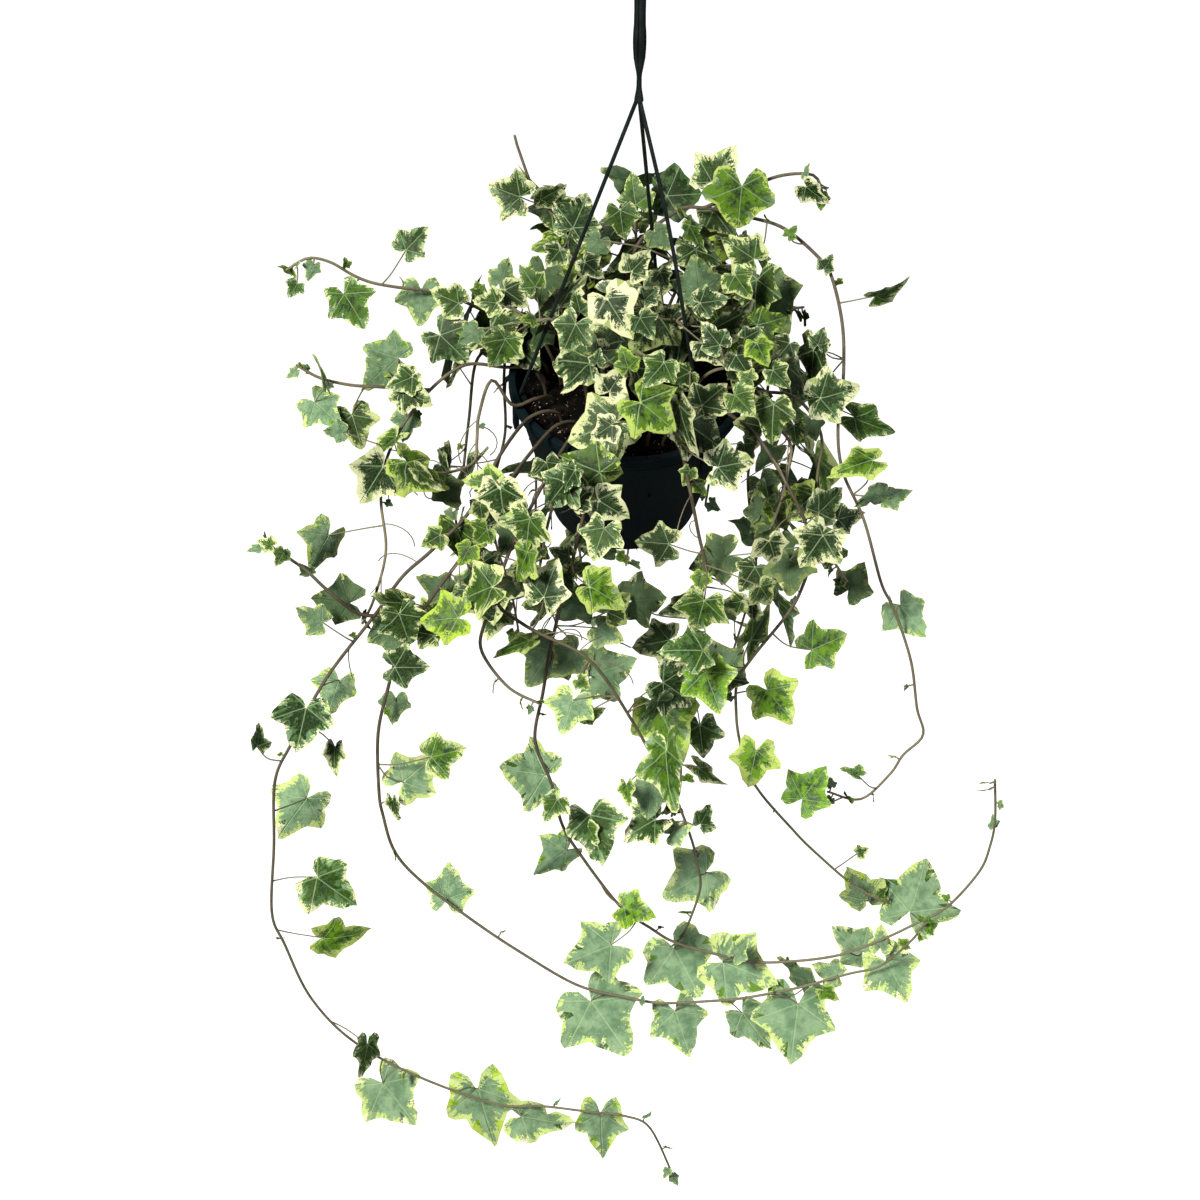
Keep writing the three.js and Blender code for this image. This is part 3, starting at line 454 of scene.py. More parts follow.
# The point in the middle of the top is the second; the two lowest rings follow it
soil_surface = soil.vertex_groups.new(name="top")
soil_surface.add([1, *range(3 + SOIL_SIDES * 2, len(soil.data.vertices))], 1.0, "REPLACE")
soil_lumps = bpy.data.textures.new("soil_lumps", "CLOUDS")
soil_lumps.noise_scale = LUMP_SIZE * MM
roughening = soil.modifiers.new("roughening", "DISPLACE")
roughening.texture = soil_lumps
roughening.vertex_group = "top"
roughening.strength = LUMP_HEIGHT * MM
roughening.mid_level = 0.75
settle(soil)


class Grove(Nodes):
    """A Geometry Nodes tree with named inputs, run once on a piece."""

    prefix = "GeometryNode"

    def __init__(self, name, **inputs):
        super().__init__(bpy.data.node_groups.new(name, "GeometryNodeTree"))
        faces = self.tree.interface
        faces.new_socket("Geometry", in_out="OUTPUT", socket_type="NodeSocketGeometry")
        for label, kind in {"Geometry": "Geometry", **inputs}.items():
            faces.new_socket(label, in_out="INPUT", socket_type="NodeSocket" + kind)
        self.start = self.tree.nodes.new("NodeGroupInput")
        self.end = self.tree.nodes.new("NodeGroupOutput")

    def given(self, label):
        return Wire(self, self.start.outputs[label])

    def named(self, attribute, kind="FLOAT"):
        return self.node("InputNamedAttribute", {"Name": attribute}, data_type=kind)

    def random(self, kind, seed, low, high, output=0):
        sockets = {**low, **high, "Seed": seed}
        return self.node("FunctionNodeRandomValue", sockets, output, data_type=kind)

    def scatter(self, points, model, **how):
        """A copy of a model at each point, made real."""
        sockets = {"Points": points, "Instance": model, **how}
        sockets = {name.replace("_", " "): value for name, value in sockets.items()}
        copies = self.node("InstanceOnPoints", sockets)
        return self.node("RealizeInstances", {"Geometry": copies})

    def joined(self, *parts):
        together = self.node("JoinGeometry")
        for part in parts:
            self.tree.links.new(part.socket, together.socket.node.inputs[0])
        return together

    def finished(self, geometry, label):
        return self.node("SetMaterial", {"Geometry": geometry, "Material": self.given(label)})

    def close(self, geometry):
        self.tree.links.new(geometry.socket, self.end.inputs[0])

    def run(self, piece, **values):
        """Runs the tree on a piece and leaves the result as its plain mesh."""
        work = piece.modifiers.new(self.tree.name, "NODES")
        work.node_group = self.tree
        for item in self.tree.interface.items_tree:
            if item.name in values:
                work[item.identifier] = values[item.name]
        piece.update_tag()
        settle(piece)


crumb_shape = bmesh.new()
bmesh.ops.create_icosphere(crumb_shape, subdivisions=1, radius=1.0)
crumb_mesh = bpy.data.meshes.new("crumb")
crumb_shape.to_mesh(crumb_mesh)
crumb_shape.free()
crumb = bpy.data.objects.new("crumb", crumb_mesh)

crumbs = Grove(
    "crumbs", crumb="Object", spread="Float", smallest="Float", largest="Float", seed="Int", finish="Material"
)
crumb_up = crumbs.node("ShaderNodeSeparateXYZ", {0: crumbs.node("InputNormal")}, 2)
crumb_top = crumbs.node("FunctionNodeCompare", {0: crumb_up, 1: CRUMB_SLOPE}, operation="GREATER_THAN")
crumb_spots = crumbs.node("DistributePointsOnFaces", {
    "Mesh": crumbs.given("Geometry"), "Selection": crumb_top,
    "Density": crumbs.given("spread"), "Seed": crumbs.given("seed"),
})
crumb_size = crumbs.random(
    "FLOAT", crumbs.given("seed"), {2: crumbs.given("smallest")}, {3: crumbs.given("largest")}, 1
)
crumb_turn = crumbs.random("FLOAT_VECTOR", 3, {}, {1: (6.28, 6.28, 6.28)})
crumb_squash = crumbs.random("FLOAT_VECTOR", 8, {0: CRUMB_SQUASH[0]}, {1: CRUMB_SQUASH[1]})
crumb_scale = crumbs.node(
    "ShaderNodeVectorMath", {0: crumb_squash, "Scale": crumb_size}, operation="SCALE"
)
crumb_model = crumbs.node("ObjectInfo", {"Object": crumbs.given("crumb")}, 4)
crumb_bits = crumbs.scatter(crumb_spots, crumb_model, Rotation=crumb_turn, Scale=crumb_scale)
crumbs.close(crumbs.finished(crumbs.joined(crumb_bits, crumbs.given("Geometry")), "finish"))
crumbs.run(
    soil, crumb=crumb, spread=36000.0, smallest=0.0008, largest=0.0034, seed=11, finish=soil_paint.material
)
bpy.data.objects.remove(crumb)
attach(soil, "root")
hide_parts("soil")

# Hanger
# One moulding in the pot's plastic: a hook, a shank with ribs along it, and three thin strands
# that part at its foot. Each strand's foot is pushed into its ear inside the rim.
STRAND_RADIUS = 1.3
STRAND_BOWS = {"left": 0.0, "right": 5.0, "back": 0.0}
HOOK_ROD_RADIUS = 2.1
HOOK_BEND_RADIUS = 11.0
HANGER_COLOUR = (0.0045, 0.0085, 0.0085)
HANGER_WORN = (0.011, 0.019, 0.018)
# Points of a strand: the share of its run down to the ear, and the share of its bow there
STRAND_BENDS = ((0.008, 0.0), (0.0265, 0.0), (0.35, 1.0), (0.7, 0.6), (1.0, 0.0), (1.03, 0.0))
ROD_SIDES = 14
ROD_STEP = 0.002
SHANK_SIDES = 24
SHANK_PROFILE = [
    (0, -118.2), (2.2, -118.2), (2.9, -117.2), (2.8, -115.5), (2.4, -113), (1.9, -110), (1.65, -107),
    (1.6, -101), (1.9, -98), (2.5, -93), (2.8, -90), (2.8, -44), (2.2, -42), (0, -42),
]
SHANK_FINS = 3
FIN_HALF_THICKNESS = 0.6
FIN_EDGE = [
    (1.5, -100), (2.6, -94), (3.6, -88), (4.0, -82), (4.1, -77), (4.0, -72), (3.6, -66), (3.5, -57),
    (3.6, -48), (2.9, -44.5), (2.0, -42),
]


def lay_rods(grove, finish):
    """Chains of edges become round rods, as thick at each point as the point says."""
    chains = grove.node("MeshToCurve", {"Mesh": grove.given("Geometry")})
    smooth = grove.node("CurveSplineType", {"Curve": chains}, spline_type="CATMULL_ROM")
    even = grove.node("ResampleCurve", {"Curve": smooth, "Length": grove.given("step")}, mode="LENGTH")
    ring = grove.node("CurvePrimitiveCircle", {"Resolution": grove.given("sides"), "Radius": 1.0})
    skin = grove.node("CurveToMesh", {
        "Curve": even, "Profile Curve": ring, "Fill Caps": True, "Scale": grove.named("thick")
    })
    soft = grove.node("SetShadeSmooth", {"Geometry": skin})
    return grove.finished(grove.node("RealizeInstances", {"Geometry": soft}), finish)


tubes = Grove("tubes", sides="Int", step="Float", finish="Material")
tubes.close(lay_rods(tubes, "finish"))


def lines_piece(name, lines, kinds):
    """A mesh of chains of edges, and of loose points where a line has only one point. Each line
    is a list of (point in mm, facts by name); kinds gives the type of each fact."""
    points, edges, facts = [], [], []
    for line in lines:
        for k, (point, said) in enumerate(line):
            if k:
                edges.append((len(points) - 1, len(points)))
            points.append(Vector(point) * MM)
            facts.append(said)
    mesh = bpy.data.meshes.new(name)
    mesh.from_pydata(points, edges, [])
    for fact, kind in kinds.items():
        layer = mesh.attributes.new(fact, kind, "POINT").data
        for i, said in enumerate(facts):
            if kind == "FLOAT_VECTOR":
                layer[i].vector = said.get(fact, (0, 0, 0))
            else:
                layer[i].value = said.get(fact, 0)
    piece = bpy.data.objects.new(name, mesh)
    bpy.context.collection.objects.link(piece)
    return piece


def rod_line(points, radius):
    return [(point, {"thick": radius * MM}) for point in points]


def ear_top(angle):
    """Where the middle of a strand's foot enters its ear."""
    return in_pot(*(Vector(circle(angle)) * EAR_RADIUS), EAR_TOP)


def strand_points(angle, bow):
    out = Vector((*circle(angle), 0))
    run = ear_top(angle) - SPLIT_POINT
    return [SPLIT_POINT + run * share + out * bow * part for share, part in STRAND_BENDS]


hanger_paint = Paint("hanger_plastic")
hanger_place = hanger_paint.place()
hanger_cloud = hanger_paint.noise(hanger_place, 60.0)
hanger_grain = hanger_paint.noise(hanger_place, 1800.0, 2.0)
hanger_paint.set(
    Base_Color=hanger_paint.mix(hanger_cloud.ramp(0.4, 0.75), HANGER_COLOUR, HANGER_WORN),
    Roughness=hanger_cloud * 0.2 + 0.36,
    Specular_IOR_Level=0.35,
    Normal=hanger_paint.bump(hanger_grain, 0.0002),
)

hook_middle = HOOK_ROD_RADIUS - HOOK_BEND_RADIUS
hook_points = [(0, 0, -46), (0, 0, -44), (0, 0, -36), (2.2, 0, -28)]
for turn in range(-55, 216, 15):
    x, z = circle(turn, HOOK_BEND_RADIUS)
    hook_points.append((x, 0, hook_middle + z))
strand_lines = [
    rod_line(strand_points(angle, STRAND_BOWS[name]), STRAND_RADIUS) for name, angle in EAR_ANGLES.items()
]
hanger_lines = [rod_line(hook_points, HOOK_ROD_RADIUS), *strand_lines]
hanger = lines_piece("hanger_moulding", hanger_lines, {"thick": "FLOAT"})
tubes.run(hanger, sides=ROD_SIDES, step=ROD_STEP, finish=hanger_paint.material)

shank_shape = turned(SHANK_PROFILE, SHANK_SIDES, lambda x, y, z: Vector((x, y, z)))
fin_outline = FIN_EDGE + [(-x, z) for x, z in reversed(FIN_EDGE)]
count = len(fin_outline)
fin_faces = [tuple(range(count)), tuple(reversed(range(count, 2 * count)))]
fin_faces += [(k, count + k, count + (k + 1) % count, (k + 1) % count) for k in range(count)]
for i in range(SHANK_FINS):
    across = Vector((*circle(180 * i / SHANK_FINS), 0))
    through = Vector((-across.y, across.x, 0)) * FIN_HALF_THICKNESS
    fin_points = [
        across * x + through * side + Vector((0, 0, z)) for side in (-1, 1) for x, z in fin_outline
    ]
    add_shape(shank_shape, fin_points, fin_faces)
shank = piece_from("shank", *shank_shape, hanger_paint.material, smooth=False)
shank.data.set_sharp_from_angle(angle=SHARP_FROM)
bpy.ops.object.select_all(action="DESELECT")
shank.select_set(True)
hanger.select_set(True)
bpy.context.view_layer.objects.active = hanger
bpy.ops.object.join()
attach(hanger, "root")
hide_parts("hanger_hook", "strand_left", "strand_right", "strand_back")

# Ivy stems
# Every stem is rooted in the mix. The ones that the photograph shows follow its picture: a route
# is pixel across, pixel down and depth in mm. Crown stems arch up and out under the dome of
# leaves, and back stems hang over the rim behind.
ROOT_DEPTH = 22.0
STEM_RISE = 3.0
STEM_END = 1.5
STEM_TURNS = [0, 6, -6, 12, -12, 18, -18, 24, -24]
CROWN_STEMS = 17
CROWN_SPREAD = 62.0
CROWN_POINTS = 5
SUNFLOWER_TURN = 137.5
FIRST_ROOT_TURN = 20
ROOTS_APART = 8
ROOT_TURN = 7
# Angle about the pot and length of each stem that hangs behind
BACK_STEMS = [(18, 215), (37, 330), (55, 190), (88, 265), (105, 385), (124, 235), (140, 310), (166, 200)]
BACK_STEP = 48
BACK_ROOTS = 58.0
BACK_REACH = 108.0
BACK_TOP = -8.0
DOME_MIDDLE = Vector((0.0, 42.0, -352.0))
DOME_HALF = Vector((150.0, 150.0, 112.0))
CORNER_NEAR = 0.6

# root: its place in the pot; over: the angle at which the stem crosses the rim, or rise: a point
# in the pot that it passes; branch: leaves the route at the point with the number of the fork;
# leaves: the pixels of the stalk end and the tip, and the turn about the midrib, 180 for the
# underside; small: the same for leaves that only this script has
VINES = {
    "vine_far_left": {
        "root": (-46, -34), "over": -144,
        "route": [
            (500, 455, -75), (469, 512, -105), (431, 551, -120), (402, 577, -128), (374, 616, -135),
            (334, 667, -145), (311, 704, -150), (291, 744, -152), (275, 781, -153), (274, 845, -152),
            (272, 913, -152), (285, 945, -153), (311, 998, -156), (353, 1041, -160), (417, 1076, -165),
            (496, 1104, -170), (541, 1106, -174), (591, 1112, -178), (625, 1116, -180), (650, 1128, -181),
            (672, 1173, -181),
        ],
        "fork": 4,
        "branch": [(355, 612, -138), (326, 589, -140), (303, 568, -141), (262, 541, -142)],
        "leaves": [
            (306, 707, 296, 755), (339, 680, 326, 716, 180), (394, 622, 402, 662, 180),
            (350, 603, 312, 597, 180), (322, 622, 294, 608, 180), (307, 798, 277, 836, 180),
            (317, 877, 357, 908), (323, 938, 373, 936, 35), (367, 1044, 365, 1078, -40),
            (383, 1083, 417, 1124, 180), (478, 1089, 492, 1149, 145), (521, 1117, 576, 1130, 140),
            (601, 1113, 600, 1159, 150), (335, 747, 332, 778, 62),
        ],
        "small": [
            (257, 746, 262, 722, 60), (284, 552, 276, 567), (272, 546, 256, 540), (440, 535, 420, 547),
        ],
    },
    "vine_left": {
        "root": (-34, -42), "over": -131,
        "route": [
            (510, 480, -85), (470, 545, -120), (430, 600, -140), (400, 650, -150), (387, 692, -155),
            (378, 735, -160), (379, 791, -164), (383, 815, -165), (395, 852, -168), (422, 882, -171),
            (472, 920, -175), (520, 952, -180), (577, 985, -182), (625, 997, -185), (661, 1003, -187),
            (711, 1001, -188), (744, 998, -188), (797, 988, -187), (848, 974, -185), (880, 966, -183),
            (910, 942, -181), (925, 924, -180),
        ],
        "leaves": [
            (395, 667, 430, 668), (396, 698, 392, 725, 180), (403, 782, 437, 752, 180),
            (431, 757, 468, 748), (447, 899, 452, 862, 180), (591, 1001, 628, 1055, 180),
            (675, 1011, 690, 1056, 180), (742, 1013, 768, 1051, 150), (798, 1004, 790, 1066, 180),
            (808, 985, 783, 952, 120), (838, 975, 812, 965, 180), (886, 961, 908, 1002, 180),
            (458, 618, 418, 621), (445, 592, 417, 575, 180), (494, 483, 461, 478), (472, 590, 492, 622, 40),
        ],
        "small": [
            (393, 799, 396, 823, 60), (823, 990, 839, 1003, 50), (470, 547, 458, 567), (480, 505, 484, 526),
        ],
    },
    "vine_right_sweep": {
        "root": (-12, -52), "over": -103,
        "route": [
            (590, 490, -98), (575, 550, -118), (562, 600, -126), (550, 650, -132), (543, 692, -140),
            (535, 740, -148), (551, 782, -154), (562, 824, -158), (580, 854, -160), (620, 906, -163),
            (652, 929, -165), (674, 942, -166), (711, 953, -167), (754, 962, -168), (797, 961, -167),
            (835, 956, -166), (861, 948, -165), (888, 937, -163), (915, 924, -160), (947, 907, -157),
            (979, 872, -152), (990, 846, -150), (995, 820, -148), (995, 781, -146),
        ],
        "leaves": [
            (545, 775, 497, 770, 180), (590, 815, 604, 866), (557, 799, 544, 823),
            (566, 850, 531, 872, 160), (552, 650, 527, 685, 180), (576, 652, 553, 677, 180),
            (600, 472, 558, 456), (603, 470, 618, 445), (575, 492, 612, 484, 180), (598, 500, 631, 521),
            (604, 528, 592, 561), (562, 573, 543, 600), (583, 600, 556, 620, 180), (607, 612, 632, 592),
            (598, 628, 625, 642, 180), (611, 945, 564, 965, 180), (674, 948, 700, 998, 180),
            (723, 962, 778, 985, 180), (862, 952, 833, 927, 180), (910, 912, 929, 859, 180),
            (624, 908, 656, 916, -20),
        ],
        "small": [
            (588, 826, 596, 847, 20), (590, 534, 568, 545), (569, 556, 549, 549), (735, 955, 752, 936, 150),
            (880, 948, 882, 924, 180),
        ],
    },
    "vine_centre": {
        "root": (-24, -48), "over": -120,
        "route": [
            (540, 490, -92), (510, 550, -120), (497, 600, -136), (520, 622, -152), (545, 636, -160),
            (577, 651, -164), (602, 674, -164), (631, 719, -160), (646, 745, -158), (662, 776, -156),
            (677, 801, -154), (692, 841, -150), (697, 864, -148), (700, 889, -146), (687, 927, -143),
            (679, 940, -142),
        ],
        "fork": 2,
        "branch": [(484, 625, -134), (482, 652, -138), (508, 687, -146), (538, 703, -152)],
        "leaves": [
            (573, 700, 562, 733, 180), (592, 676, 638, 659, 180), (652, 784, 647, 819, 180),
            (655, 820, 622, 838, 20), (667, 750, 667, 812, 66), (706, 872, 665, 898, 180),
            (530, 641, 490, 652, 62), (515, 528, 500, 557, 180), (520, 582, 490, 592, 150),
        ],
        "small": [
            (578, 680, 591, 690), (585, 716, 608, 711, 40), (627, 784, 627, 807, 50),
            (670, 834, 694, 826, 180), (700, 824, 713, 804, 40),
        ],
    },
    "vine_front_left": {
        "root": (-18, -60), "over": -112,
        "route": [(562, 480, -90), (549, 520, -102), (541, 560, -110), (536, 592, -116)],
        "leaves": [(527, 513, 507, 547), (546, 462, 556, 491)],
        "small": [(540, 575, 522, 590, 180)],
    },
    "vine_front": {
        "root": (24, -56), "over": -66,
        "route": [
            (690, 490, -88), (699, 536, -96), (706, 570, -101), (700, 603, -105), (692, 635, -108),
            (692, 670, -112), (690, 700, -116), (682, 740, -120), (680, 789, -124), (672, 815, -127),
        ],
        "leaves": [
            (669, 544, 636, 541), (669, 640, 633, 648), (658, 706, 683, 760), (632, 601, 668, 596, 180),
            (700, 725, 703, 760), (706, 668, 690, 691), (698, 767, 724, 790, 55),
        ],
        "small": [(690, 470, 683, 487), (697, 484, 707, 496), (702, 575, 697, 594)],
    },
    "vine_right_low": {
        "root": (43, -45), "over": -32,
        "route": [
            (760, 440, -58), (790, 490, -82), (808, 530, -92), (810, 559, -96), (803, 585, -99),
            (789, 612, -103), (755, 654, -110), (738, 680, -114), (736, 708, -118), (740, 742, -122),
            (755, 785, -126), (794, 831, -130), (816, 853, -132), (853, 885, -136), (880, 900, -139),
        ],
        "leaves": [
            (755, 567, 738, 593), (790, 560, 791, 597, 180), (728, 556, 690, 570, 180),
            (767, 690, 794, 723), (756, 750, 749, 788), (812, 650, 847, 634), (750, 640, 780, 599, 55),
            (866, 900, 848, 864, 150), (705, 672, 720, 712), (726, 672, 706, 640, 180),
        ],
        "small": [(858, 853, 870, 848)],
    },
    "vine_right": {
        "root": (24, 40), "rise": (2, 52, 62),
        "route": [
            (674, 213, 85), (704, 208, 85), (748, 217, 78), (785, 229, 65), (821, 260, 45), (833, 281, 32),
            (843, 330, 5), (843, 388, -22), (838, 430, -38), (843, 472, -52), (864, 520, -66),
            (881, 582, -80), (891, 603, -85), (902, 631, -90), (912, 666, -95), (917, 708, -100),
            (923, 735, -103), (903, 755, -107), (890, 774, -110), (861, 799, -116), (829, 792, -121),
        ],
        "fork": 1,
        "branch": [(740, 192, 84), (779, 176, 80), (813, 175, 76), (822, 192, 74)],
        "leaves": [
            (802, 799, 827, 766), (900, 605, 925, 639, 180), (882, 494, 852, 503, 120),
            (886, 497, 913, 493, 120), (873, 461, 826, 471, 68), (855, 417, 892, 438, 60),
            (876, 296, 915, 282, 60), (820, 398, 861, 389, 30), (815, 350, 806, 398, 50),
            (806, 186, 828, 207, 40), (742, 186, 737, 230), (712, 182, 736, 145), (754, 259, 721, 237),
        ],
        "small": [
            (824, 269, 834, 254), (788, 236, 797, 225), (818, 345, 824, 327), (859, 776, 840, 765, 50),
        ],
    },
    "vine_right_inner": {
        "root": (58, -14), "over": -12,
        "route": [
            (790, 395, -15), (812, 415, -25), (822, 440, -38), (818, 470, -50), (815, 500, -60),
            (812, 522, -68), (828, 552, -76), (846, 580, -82),
        ],
        "leaves": [
            (813, 495, 785, 521), (834, 545, 800, 550), (838, 519, 866, 513), (848, 590, 866, 563, 150),
        ],
        "small": [(812, 420, 816, 441, 180), (794, 425, 797, 448)],
    },
    "vine_right_mass": {
        "root": (54, -30), "over": -23,
        "route": [(778, 428, -52), (791, 446, -62), (788, 471, -70), (782, 499, -76), (770, 530, -82)],
        "leaves": [
            (776, 447, 752, 468, 150), (775, 525, 765, 500, 180), (760, 515, 757, 489, 180),
            (780, 540, 792, 566, 180),
        ],
    },
    "vine_left_shoot": {
        "root": (-58, 4), "over": 178,
        "route": [
            (465, 365, 20), (430, 390, 8), (400, 430, -20), (385, 465, -45), (381, 501, -62),
            (386, 551, -80), (374, 599, -95), (363, 622, -102),
        ],
        "fork": 1,
        "branch": [(408, 389, 4), (380, 387, 0), (350, 385, -4), (320, 378, -6), (298, 366, -6)],
        "leaves": [
            (412, 377, 386, 388), (329, 535, 305, 571, 150), (315, 402, 340, 427, 180),
            (352, 415, 362, 448), (325, 385, 319, 352, 68), (408, 415, 402, 443, 180),
            (396, 437, 365, 463, 50), (383, 466, 360, 505), (398, 358, 365, 345, 150),
            (385, 368, 360, 390, 180), (403, 391, 432, 404),
        ],
        "small": [(343, 432, 322, 431, 180)],
    },
    "vine_top_left": {
        "root": (-46, 28), "over": 152,
        "route": [
            (478, 308, 58), (440, 293, 54), (396, 287, 46), (370, 282, 42), (351, 274, 40), (330, 262, 38),
            (308, 258, 35), (288, 269, 33),
        ],
        "leaves": [
            (406, 250, 428, 226), (344, 294, 366, 327), (421, 290, 421, 326, 180), (459, 303, 427, 290),
            (440, 335, 469, 363),
        ],
        "small": [(297, 284, 288, 298)],
    },
    "vine_top": {
        "root": (-20, 44), "rise": (-26, 62, 55),
        "route": [(552, 214, 110), (535, 193, 112), (519, 151, 112), (515, 137, 111)],
        "leaves": [(520, 197, 487, 185), (540, 199, 568, 188, 62)],
    },
    "vine_left_drop": {
        "root": (-52, -16), "over": -156,
        "route": [
            (492, 380, -12), (479, 415, -32), (477, 440, -45), (474, 462, -55), (450, 472, -68),
            (420, 474, -80), (398, 478, -88),
        ],
        "leaves": [(418, 470, 441, 495, 50), (406, 462, 442, 496, 62), (445, 485, 460, 511, 180)],
    },
}


def sight(u, v, y):
    """The place that the photograph shows at a pixel, at a depth, as plain numbers."""
    across = (u - MIDDLE) / FOCAL
    up = (MIDDLE - v) / FOCAL
    sine, cosine = math.sin(LOOK_DOWN), math.cos(LOOK_DOWN)
    reach = (y - EYE.y) / (cosine + sine * up)
    return EYE.x + reach * across, y, EYE.z + reach * (cosine * up - sine)


def seen(u, v, y):
    return Vector(sight(u, v, y))


def pixel_of(point):
    away = point - EYE
    ahead = away.y * math.cos(LOOK_DOWN) - away.z * math.sin(LOOK_DOWN)
    up = away.y * math.sin(LOOK_DOWN) + away.z * math.cos(LOOK_DOWN)
    return MIDDLE + FOCAL * away.x / ahead, MIDDLE - FOCAL * up / ahead


def rooted(root, points):
    return [in_pot(*root, -SOIL_DROP - ROOT_DEPTH), in_pot(*root, STEM_RISE - SOIL_DROP), *points]


def over_rim(angle):
    return [in_pot(*circle(angle, 69), 5), in_pot(*circle(angle, 86), 5)]


def stem_end(path):
    """A stem's very end, a little past its last point."""
    return path[-1] + (path[-1] - path[-2]).normalized() * STEM_END


def back_path(angle, hang, turn):
    """Over the rim, then straight down in slight waves."""
    x, y = circle(angle + turn)
    points = [*over_rim(angle + turn), in_pot(BACK_REACH * x, BACK_REACH * y, BACK_TOP)]
    steps = math.floor(hang / BACK_STEP + 0.5)
    for k in range(1, steps + 1):
        out = BACK_REACH + 12 + 6 * math.sin(1.7 * k + angle) + 0.02 * hang * math.sin(0.6 * k)
        wave = 5 * math.sin(1.1 * k + 2 * angle)
        aside = Vector((out * x - wave * y, out * y + wave * x, BACK_TOP - hang * k / steps))
        points.append(RIM_CENTRE + aside)
    root = (BACK_ROOTS * x, BACK_ROOTS * y)
    return root, rooted(root, points)


def crown_path(root, angle, radius, turn):
    """Up and outwards in an arch, steeper near the middle of the pot."""
    rise = 84 - 66 * radius / CROWN_SPREAD
    level, up = circle(rise)
    heading = Vector((*circle(angle + turn, level), up))
    end = DOME_MIDDLE + heading * DOME_HALF * 0.86
    start = in_pot(*root, STEM_RISE - SOIL_DROP)
    bend = start.lerp(end, 0.3)
    bend.z = end.z + 12
    points = []
    for k in range(1, CROWN_POINTS + 1):
        share = k / CROWN_POINTS
        points.append(start.lerp(bend, share).lerp(bend.lerp(end, share), share))
    return root, rooted(root, points)


def spread_root(i, taken):
    """Roots lie like seeds in a sunflower, turned on where a root already stands."""
    radius = CROWN_SPREAD * math.sqrt((i + 0.6) / CROWN_STEMS)
    angle = SUNFLOWER_TURN * i + FIRST_ROOT_TURN
    while any(math.dist(circle(angle, radius), other) < ROOTS_APART for other in taken):
        angle += ROOT_TURN
    return circle(angle, radius), angle, radius


cad_points = {}
for node_name, node_object in frame["nodes"].items():
    tree = KDTree(len(node_object.data.vertices))
    for vertex in node_object.data.vertices:
        tree.insert(vertex.co / MM, vertex.index)
    tree.balance()
    cad_points[node_name] = tree


def in_cad(name, point):
    """Whether a node of the CAD has a corner at a point: the stem or leaf stands there."""
    return cad_points[name].find(point)[2] < CORNER_NEAR


stems = []
for name, vine in VINES.items():
    start = over_rim(vine["over"]) if "over" in vine else [in_pot(*vine["rise"])]
    route = [seen(*point) for point in vine["route"]]
    paths = [rooted(vine["root"], [*start, *route])]
    if "fork" in vine:
        paths.append([route[vine["fork"]], *(seen(*point) for point in vine["branch"])])
    stems.append({"small": [], **vine, "name": name, "paths": paths, "side": "seen"})


def add_hidden_stem(side, number, grow):
    """A stem that follows by rule, turned as the CAD has it."""
    name = f"{side}_stem_{number + 1}"
    for root, path in map(grow, STEM_TURNS):
        if in_cad(name, stem_end(path)):
            facts = {"root": root, "paths": [path], "side": side, "leaves": [], "small": []}
            stems.append({"name": name, **facts})
            return


for i, (angle, hang) in enumerate(BACK_STEMS):
    add_hidden_stem("back", i, lambda turn: back_path(angle, hang, turn))
for i in range(CROWN_STEMS):
    root, angle, radius = spread_root(i, [stem["root"] for stem in stems])
    add_hidden_stem("crown", i, lambda turn: crown_path(root, angle, radius, turn))
seen_stems, hidden_stems = stems[:len(VINES)], stems[len(VINES):]


def along(path, k, share):
    """A point of the smooth stem between points k and k + 1 of its path."""
    a, b, c, d = (path[min(max(k + i, 0), len(path) - 1)] for i in (-1, 0, 1, 2))
    curve = (2 * b + (c - a) * share + (2 * a - 5 * b + 4 * c - d) * share**2)
    return (curve + (3 * b - a - 3 * c + d) * share**3) / 2


# Ivy leaves
# A leaf is a thin lobed blade on a round stalk. The leaves of the photograph are placed by their
# pixels; the others follow by rule. Where a rule has several places for a leaf, the CAD's
# corners tell which one it took.
SEED = 20240
SEED_FACTOR = 16807
SEED_RANGE = 2147483647
PITCH = 14
SWAY = 16
SEEN_SHIFTS = [0, -8, 8, -16, 16, -24, 24, -32, 32, -40, 40]
RULE_TURNS = [0, 28, -28, 56, -56, 84, -84]
BLADE_HALF_THICKNESS = 0.45
SHORTEST_STALK = 4.0
MIDDLE_SHARE = 0.4
CROWN_LEAVES = [
    (607, 298, 631, 339), (573, 228, 589, 192), (505, 339, 491, 370), (576, 324, 560, 355),
    (609, 392, 626, 365), (620, 210, 624, 242), (667, 196, 702, 193), (636, 205, 630, 172),
    (631, 272, 652, 250), (700, 303, 730, 299), (664, 362, 643, 389), (702, 406, 728, 381),
    (774, 404, 770, 446), (718, 467, 756, 460), (640, 402, 678, 433), (505, 290, 529, 308),
    (500, 283, 510, 256, 180), (712, 328, 759, 309, 55), (765, 290, 791, 336, 180), (757, 325, 789, 317),
    (703, 343, 723, 368), (736, 355, 751, 379), (757, 343, 768, 369), (773, 370, 791, 389),
    (735, 395, 756, 417), (680, 405, 690, 460, 66), (700, 292, 694, 254, 180), (545, 270, 540, 306, 180),
    (535, 287, 520, 264), (612, 425, 588, 440), (545, 330, 530, 352, 180), (690, 225, 702, 255, 60),
    (640, 318, 655, 340), (585, 262, 604, 280), (735, 275, 752, 300), (600, 240, 585, 262, 180),
    (720, 345, 700, 322),
]
